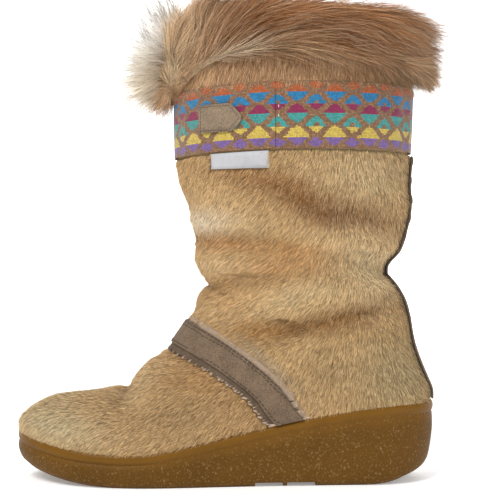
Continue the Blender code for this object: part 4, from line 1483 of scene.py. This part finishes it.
def hoop_lines(tree, shares, lift):
    """Lines along the instep strap, over both sides: one for each share of its width."""
    crest, foot = np.array(STRAP_CREST), np.array(STRAP_FOOT)
    down = unit(foot - crest)
    middle = crest + down * STRAP_MIDDLE
    down = Vector((down[0], 0.0, down[1]))
    across = Vector((-down[2], 0.0, down[0]))
    centre = Vector((middle[0], 0.0, middle[1])) * MM
    lines = [[] for _ in shares]
    for turn in np.radians(np.arange(*STRAP_TURNS)):
        way = Vector((0.0, -1.0, 0.0)) * math.cos(turn) - down * math.sin(turn)
        starts = [centre + way * 0.12 + across * step * MM for step in np.arange(*STRAP_REACH)]
        spots = slice_spots(tree, starts, -way, shares, lift)
        if spots is not None:
            for line, spot in zip(lines, spots):
                line.append(spot)
    return lines


def cut_rim(points):
    """How pale each point of the pinked strip is: most along its lower cut edge, half on its upper band."""
    down = unit(np.array(STRAP_FOOT) - np.array(STRAP_CREST))
    along = points[:, [0, 2]] @ down
    across = points[:, [0, 2]] @ np.array((-down[1], down[0]))
    bins = np.round(along / 1.5).astype(int)
    bins -= bins.min()
    low_edge = np.full(bins.max() + 1, 1e9)
    high_edge = -low_edge
    np.minimum.at(low_edge, bins, across)
    np.maximum.at(high_edge, bins, across)
    rim = np.clip(1.1 - (across - low_edge[bins]) / 0.9, 0, 1)
    return np.maximum(rim, np.clip((across - high_edge[bins]) / 1.5 + 3.0, 0, 0.5))


def make_straps(colours):
    """The instep strap: a pinked strip under a plain one that is stitched along both edges."""
    suede = suede_finish("strap_suede", colours.strap)
    edge_suede = suede_finish("strap_pinked", times(colours.strap, 0.7))
    base = trim("instep_strap_base", "instep_strap_pinked", edge_suede, "suede")
    mark(base.data, "rim", cut_rim(places(base.data)))
    top = trim("instep_strap_top", "instep_strap", suede, "suede")
    dark = plain_finish("dark_thread", "#2c2119", "#46382c", 0.4, 0.1)
    lines = hoop_lines(tree_of(top.data), STRAP_SEAMS, 0.15)
    stitched("strap_stitches", lines, 3.0, 2.2, 0.6, dark, "suede")


def make_back_stay(colours):
    """The strip up the back seam, and the thick stitches down both its edges."""
    edge_suede = suede_finish("stay_pinked", times(colours.stay, 0.75))
    trim("back_stay_base", "back_stay_pinked", edge_suede, "suede")
    top = trim("back_stay_top", "back_stay", suede_finish("stay_suede", colours.stay), "suede")
    tree = tree_of(top.data)
    lines = []
    for side in (-STAY_SEAM_HALF, STAY_SEAM_HALF):
        starts = [Vector((250.0, side, level)) * MM for level in np.arange(*STAY_SEAM_Z, 2.0)]
        lines.append(ray_spots(tree, starts, (-1.0, 0.0, 0.0), 0.1))
    cord = plain_finish("seam_cord", "#2e241c", "#4b3c30", 0.6, 0.2)
    stitched("back_stitches", lines, 10.0, 5.5, 1.0, cord, "suede")


def make_tabs(colours):
    """The suede tab on the ribbon and the bare label under it."""
    tab = trim("ribbon_tab", "suede_tab", suede_finish("tab_suede", colours.tab), "suede")
    low, high = (np.array(corner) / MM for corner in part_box("suede_tab"))
    starts = []
    for start, end in zip(TAB_SEAM, TAB_SEAM[1:]):
        for step in np.linspace(0, 1, 9):
            across, up = np.array(start) + (np.array(end) - start) * step
            spot = low + (high - low) * (across, 0, up)
            starts.append(Vector((spot[0], -150.0, spot[2])) * MM)
    line = ray_spots(tree_of(tab.data), starts, (0.0, 1.0, 0.0), 0.1)
    dark = plain_finish("tab_thread", "#42362b", "#5b4c3d", 0.4, 0.1)
    stitched("tab_stitches", [line], 1.9, 1.4, 0.45, dark, "suede")
    trim("label", "label_tab", label_finish(colours.label), "label")


# ---------------------------------------------------------------- sole

def make_sole(colours):
    """The crumb rubber wedge."""
    mesh = refined("outsole", hard=30.0)
    points = places(mesh)
    below = sole_rim(points[:, 0]) - points[:, 2]
    # The ledge under the rim is rounded off, less so at the toe.
    softened = np.exp(-(((below - 9.0) / 4.5) ** 2)) * np.maximum(fade(points[:, 0], -70.0, -30.0), 0.3)
    place(mesh, relaxed(mesh, points, softened * 0.9, 25))
    mark(mesh, "below", below)
    piece = new_piece("wedge_sole", mesh, rubber_finish(colours.rubber))
    seat(piece, "rubber", "outsole")
    felt = plain_finish("felt", "#b9ad97", "#d1c7b2", 2.0, 0.8, 0.95)
    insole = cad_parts["insole"]
    insole.data.materials.clear()
    insole.data.materials.append(felt)


# ---------------------------------------------------------------- stage

CAMERA_PLACE = (15.9, -870.0, 144.0)
SWEEP_FRONT, SWEEP_BACK, SWEEP_CURVE, SWEEP_TOP = 25.0, 1.2, 0.8, 5.0  # the stage, in metres
SWEEP_HALF, FLOOR_HALF = 5.0, 25.0  # half its width at the back and in front
CAMERA_WIDTH = 318.5  # how much of the boot's middle plane the view takes in
LAMP_AIM = (0.0, 0.0, 0.14)


def area_light(name, energy, size, spot):
    """A soft square lamp aimed at the boot."""
    data = bpy.data.lights.new(name, "AREA")
    data.energy = energy
    data.size = size
    lamp = linked(name, data)
    lamp.location = spot
    lamp.rotation_euler = (Vector(LAMP_AIM) - Vector(spot)).to_track_quat("-Z", "Y").to_euler()


def stage_finish(name, glow):
    """Pale paper that glows a little."""
    pale = {"Base_Color": (0.93, 0.93, 0.93), "Emission_Color": (1.0, 1.0, 1.0)}
    return Finish(name, roughness=0.9, Emission_Strength=glow, **pale).material


def make_floor():
    """The floor and the wall that it curves up into, in one piece."""
    sweep = [(-SWEEP_FRONT, 0.0)]
    for step in range(13):
        turn = math.radians(90 * step / 12)
        sweep.append((SWEEP_BACK + SWEEP_CURVE * math.sin(turn), SWEEP_CURVE * (1 - math.cos(turn))))
    sweep.append((SWEEP_BACK + SWEEP_CURVE, SWEEP_TOP))
    halves = [FLOOR_HALF] + [SWEEP_HALF] * (len(sweep) - 1)
    vertices = [(side * half, y, z) for half, (y, z) in zip(halves, sweep) for side in (-1, 1)]
    faces = [(row, row + 1, row + 3, row + 2) for row in range(0, len(vertices) - 2, 2)]
    mesh = bpy.data.meshes.new("floor")
    mesh.from_pydata(vertices, [], faces)
    smooth(mesh)
    floor = new_piece("floor", mesh, stage_finish("floor", 0.25))
    mesh.materials.append(stage_finish("backdrop", 0.9))
    for polygon in mesh.polygons[1:]:
        polygon.material_index = 1


def make_stage(lights):
    """Pale floor, soft lamps, pale surroundings and the camera."""
    scene = bpy.context.scene
    make_floor()
    world = bpy.data.worlds.new("pale room")
    world.use_nodes = True
    background = world.node_tree.nodes["Background"]
    background.inputs["Color"].default_value = (1.0, 1.0, 1.0, 1.0)
    background.inputs["Strength"].default_value = lights.room_light
    scene.world = world
    scene.view_settings.view_transform = "Standard"

    area_light("key", lights.key_light, 0.9, (-0.7, -1.2, 1.5))
    area_light("fill", lights.key_light * 0.26, 1.2, (1.2, -1.1, 0.6))
    area_light("back", lights.key_light * 0.2, 1.0, (0.4, 1.4, 1.0))

    data = bpy.data.cameras.new("camera")
    distance = -CAMERA_PLACE[1]
    data.lens = data.sensor_width * distance / CAMERA_WIDTH
    data.clip_start = 0.02
    data.clip_end = 40.0
    camera = linked("camera", data)
    camera.location = Vector(CAMERA_PLACE) * MM
    camera.rotation_euler = (math.radians(90), 0.0, 0.0)
    scene.camera = camera


# ---------------------------------------------------------------- add-on

def paint(name, description, code):
    """A colour that a user can change."""
    return bpy.props.FloatVectorProperty(
        name=name, description=description, subtype="COLOR", size=3, min=0.0, max=1.0, default=linear(code)
    )


class BootSizes(bpy.types.PropertyGroup):
    """Sizes of the hair."""

    nap_length: bpy.props.FloatProperty(
        name="Nap length",
        description="Length of the short hair on the hide",
        default=4.2 * MM,
        unit="LENGTH",
    )
    nap_density: bpy.props.FloatProperty(
        name="Nap density",
        description="Short hairs on a square millimetre of hide",
        default=5.0,
        min=0.0,
    )
    nap_split: bpy.props.FloatProperty(
        name="Nap split",
        description="Height that parts the foot's nap from the shaft's",
        default=104 * MM,
        unit="LENGTH",
    )
    fur_length: bpy.props.FloatProperty(
        name="Fur length",
        description="Length of the long hair on the cuff",
        default=32 * MM,
        unit="LENGTH",
    )
    fur_density: bpy.props.FloatProperty(
        name="Fur density",
        description="Long hairs on a square millimetre of cuff",
        default=1.7,
        min=0.0,
    )


class BootColours(bpy.types.PropertyGroup):
    """Colours of the hide, the fur, the suede and the rubber."""

    hide: paint("Hide", "Short hair, apart from its darker and paler places", "#c4a06c")
    cuff: paint("Cuff", "Long fur, apart from its darker and paler places", "#8e5d34")
    roll: paint("Front roll", "Pale fur of the roll in front", "#e6ddcd")
    wisps: paint("Wisps", "Thin long hairs over the front roll", "#857b6f")
    collar: paint("Collar", "Short hair between the ribbon and the cuff", "#b98f66")
    strap: paint("Instep strap", "Suede of the instep strap", "#695847")
    stay: paint("Back stay", "Suede of the strip up the back", "#6a5a4a")
    tab: paint("Tab", "Suede of the tab on the ribbon", "#7a6a58")
    label: paint("Label", "The bare woven label", "#c0c1c4")
    rubber: paint("Rubber", "Crumb rubber of the sole", "#5c3d0a")


class RibbonYarns(bpy.types.PropertyGroup):
    """Colours of the ribbon's yarns."""

    orange: paint("Orange", "Yarn of the top row", "#b65a26")
    blue: paint("Blue", "Yarn of the second row", "#1a7db0")
    magenta: paint("Magenta", "Yarn of the third row", "#90184f")
    teal: paint("Teal", "Yarn of the fourth row", "#3f9e98")
    yellow: paint("Yellow", "Yarn of the fifth row", "#d8bb52")
    purple: paint("Purple", "Yarn of the lowest row", "#7d5f9f")
    ground: paint("Ground", "Yarn between the motifs", "#87603f")
    fleck: paint("Fleck", "Paler floats in the ground", "#9b7350")


class StageLights(bpy.types.PropertyGroup):
    """The studio's light."""

    key_light: bpy.props.FloatProperty(
        name="Key light",
        description="Power of the main lamp",
        default=31.0,
        unit="POWER",
    )
    room_light: bpy.props.FloatProperty(
        name="Room light",
        description="Brightness of the pale room",
        default=0.27,
    )


class BOOT_OT_hide(bpy.types.Operator):
    """Make the folded hide and its lining"""

    bl_idname = "fur_boot.hide"
    bl_label = "Hide and lining"

    def execute(self, context):
        make_hide(context.scene.boot_colours)
        return {"FINISHED"}


class BOOT_OT_nap(bpy.types.Operator):
    """Grow the short hair on the hide"""

    bl_idname = "fur_boot.nap"
    bl_label = "Short nap"

    def execute(self, context):
        make_nap(context.scene.boot_sizes, context.scene.boot_colours)
        return {"FINISHED"}


class BOOT_OT_cuff(bpy.types.Operator):
    """Make the cuff and its long fur"""

    bl_idname = "fur_boot.cuff"
    bl_label = "Fur cuff"

    def execute(self, context):
        make_cuff(context.scene.boot_sizes, context.scene.boot_colours)
        return {"FINISHED"}


class BOOT_OT_ribbon(bpy.types.Operator):
    """Weave the ribbon round the shaft"""

    bl_idname = "fur_boot.ribbon"
    bl_label = "Woven ribbon"

    def execute(self, context):
        make_ribbon(context.scene.ribbon_yarns)
        return {"FINISHED"}


class BOOT_OT_straps(bpy.types.Operator):
    """Make the instep strap and its stitches"""

    bl_idname = "fur_boot.straps"
    bl_label = "Instep strap"

    def execute(self, context):
        make_straps(context.scene.boot_colours)
        return {"FINISHED"}


class BOOT_OT_back_stay(bpy.types.Operator):
    """Make the strip up the back seam and its stitches"""

    bl_idname = "fur_boot.back_stay"
    bl_label = "Back stay"

    def execute(self, context):
        make_back_stay(context.scene.boot_colours)
        return {"FINISHED"}


class BOOT_OT_tabs(bpy.types.Operator):
    """Make the suede tab and the label"""

    bl_idname = "fur_boot.tabs"
    bl_label = "Tab and label"

    def execute(self, context):
        make_tabs(context.scene.boot_colours)
        return {"FINISHED"}


class BOOT_OT_sole(bpy.types.Operator):
    """Make the wedge sole and finish the insole"""

    bl_idname = "fur_boot.sole"
    bl_label = "Sole and insole"

    def execute(self, context):
        make_sole(context.scene.boot_colours)
        return {"FINISHED"}


class BOOT_OT_stage(bpy.types.Operator):
    """Set the floor, the lamps and the camera"""

    bl_idname = "fur_boot.stage"
    bl_label = "Stage"

    def execute(self, context):
        make_stage(context.scene.stage_lights)
        return {"FINISHED"}


GROUPS = {
    "boot_sizes": BootSizes,
    "boot_colours": BootColours,
    "ribbon_yarns": RibbonYarns,
    "stage_lights": StageLights,
}
STEPS = (
    BOOT_OT_hide,
    BOOT_OT_nap,
    BOOT_OT_cuff,
    BOOT_OT_ribbon,
    BOOT_OT_straps,
    BOOT_OT_back_stay,
    BOOT_OT_tabs,
    BOOT_OT_sole,
    BOOT_OT_stage,
)


class BOOT_PT_panel(bpy.types.Panel):
    """The boot's sizes and the steps that dress it"""

    bl_idname = "BOOT_PT_panel"
    bl_label = "Fur boot"
    bl_space_type = "VIEW_3D"
    bl_region_type = "UI"
    bl_category = "Fur boot"

    def draw(self, context):
        """Lists every size and colour, then the steps in order."""
        for group, kind in GROUPS.items():
            box = self.layout.box()
            for name in kind.__annotations__:
                box.prop(getattr(context.scene, group), name)
        for step in STEPS:
            self.layout.operator(step.bl_idname)


CLASSES = (*GROUPS.values(), *STEPS, BOOT_PT_panel)


def register():
    """Adds the boot's groups, steps and panel."""
    for cls in CLASSES:
        bpy.utils.register_class(cls)
    for group, kind in GROUPS.items():
        setattr(bpy.types.Scene, group, bpy.props.PointerProperty(type=kind))


def unregister():
    """Takes them away again."""
    for group in GROUPS:
        delattr(bpy.types.Scene, group)
    for cls in reversed(CLASSES):
        bpy.utils.unregister_class(cls)


def main():
    """Dresses the boot."""
    register()
    for step in STEPS:
        group, name = step.bl_idname.split(".")
        getattr(getattr(bpy.ops, group), name)()


if __name__ == "__main__":
    main()
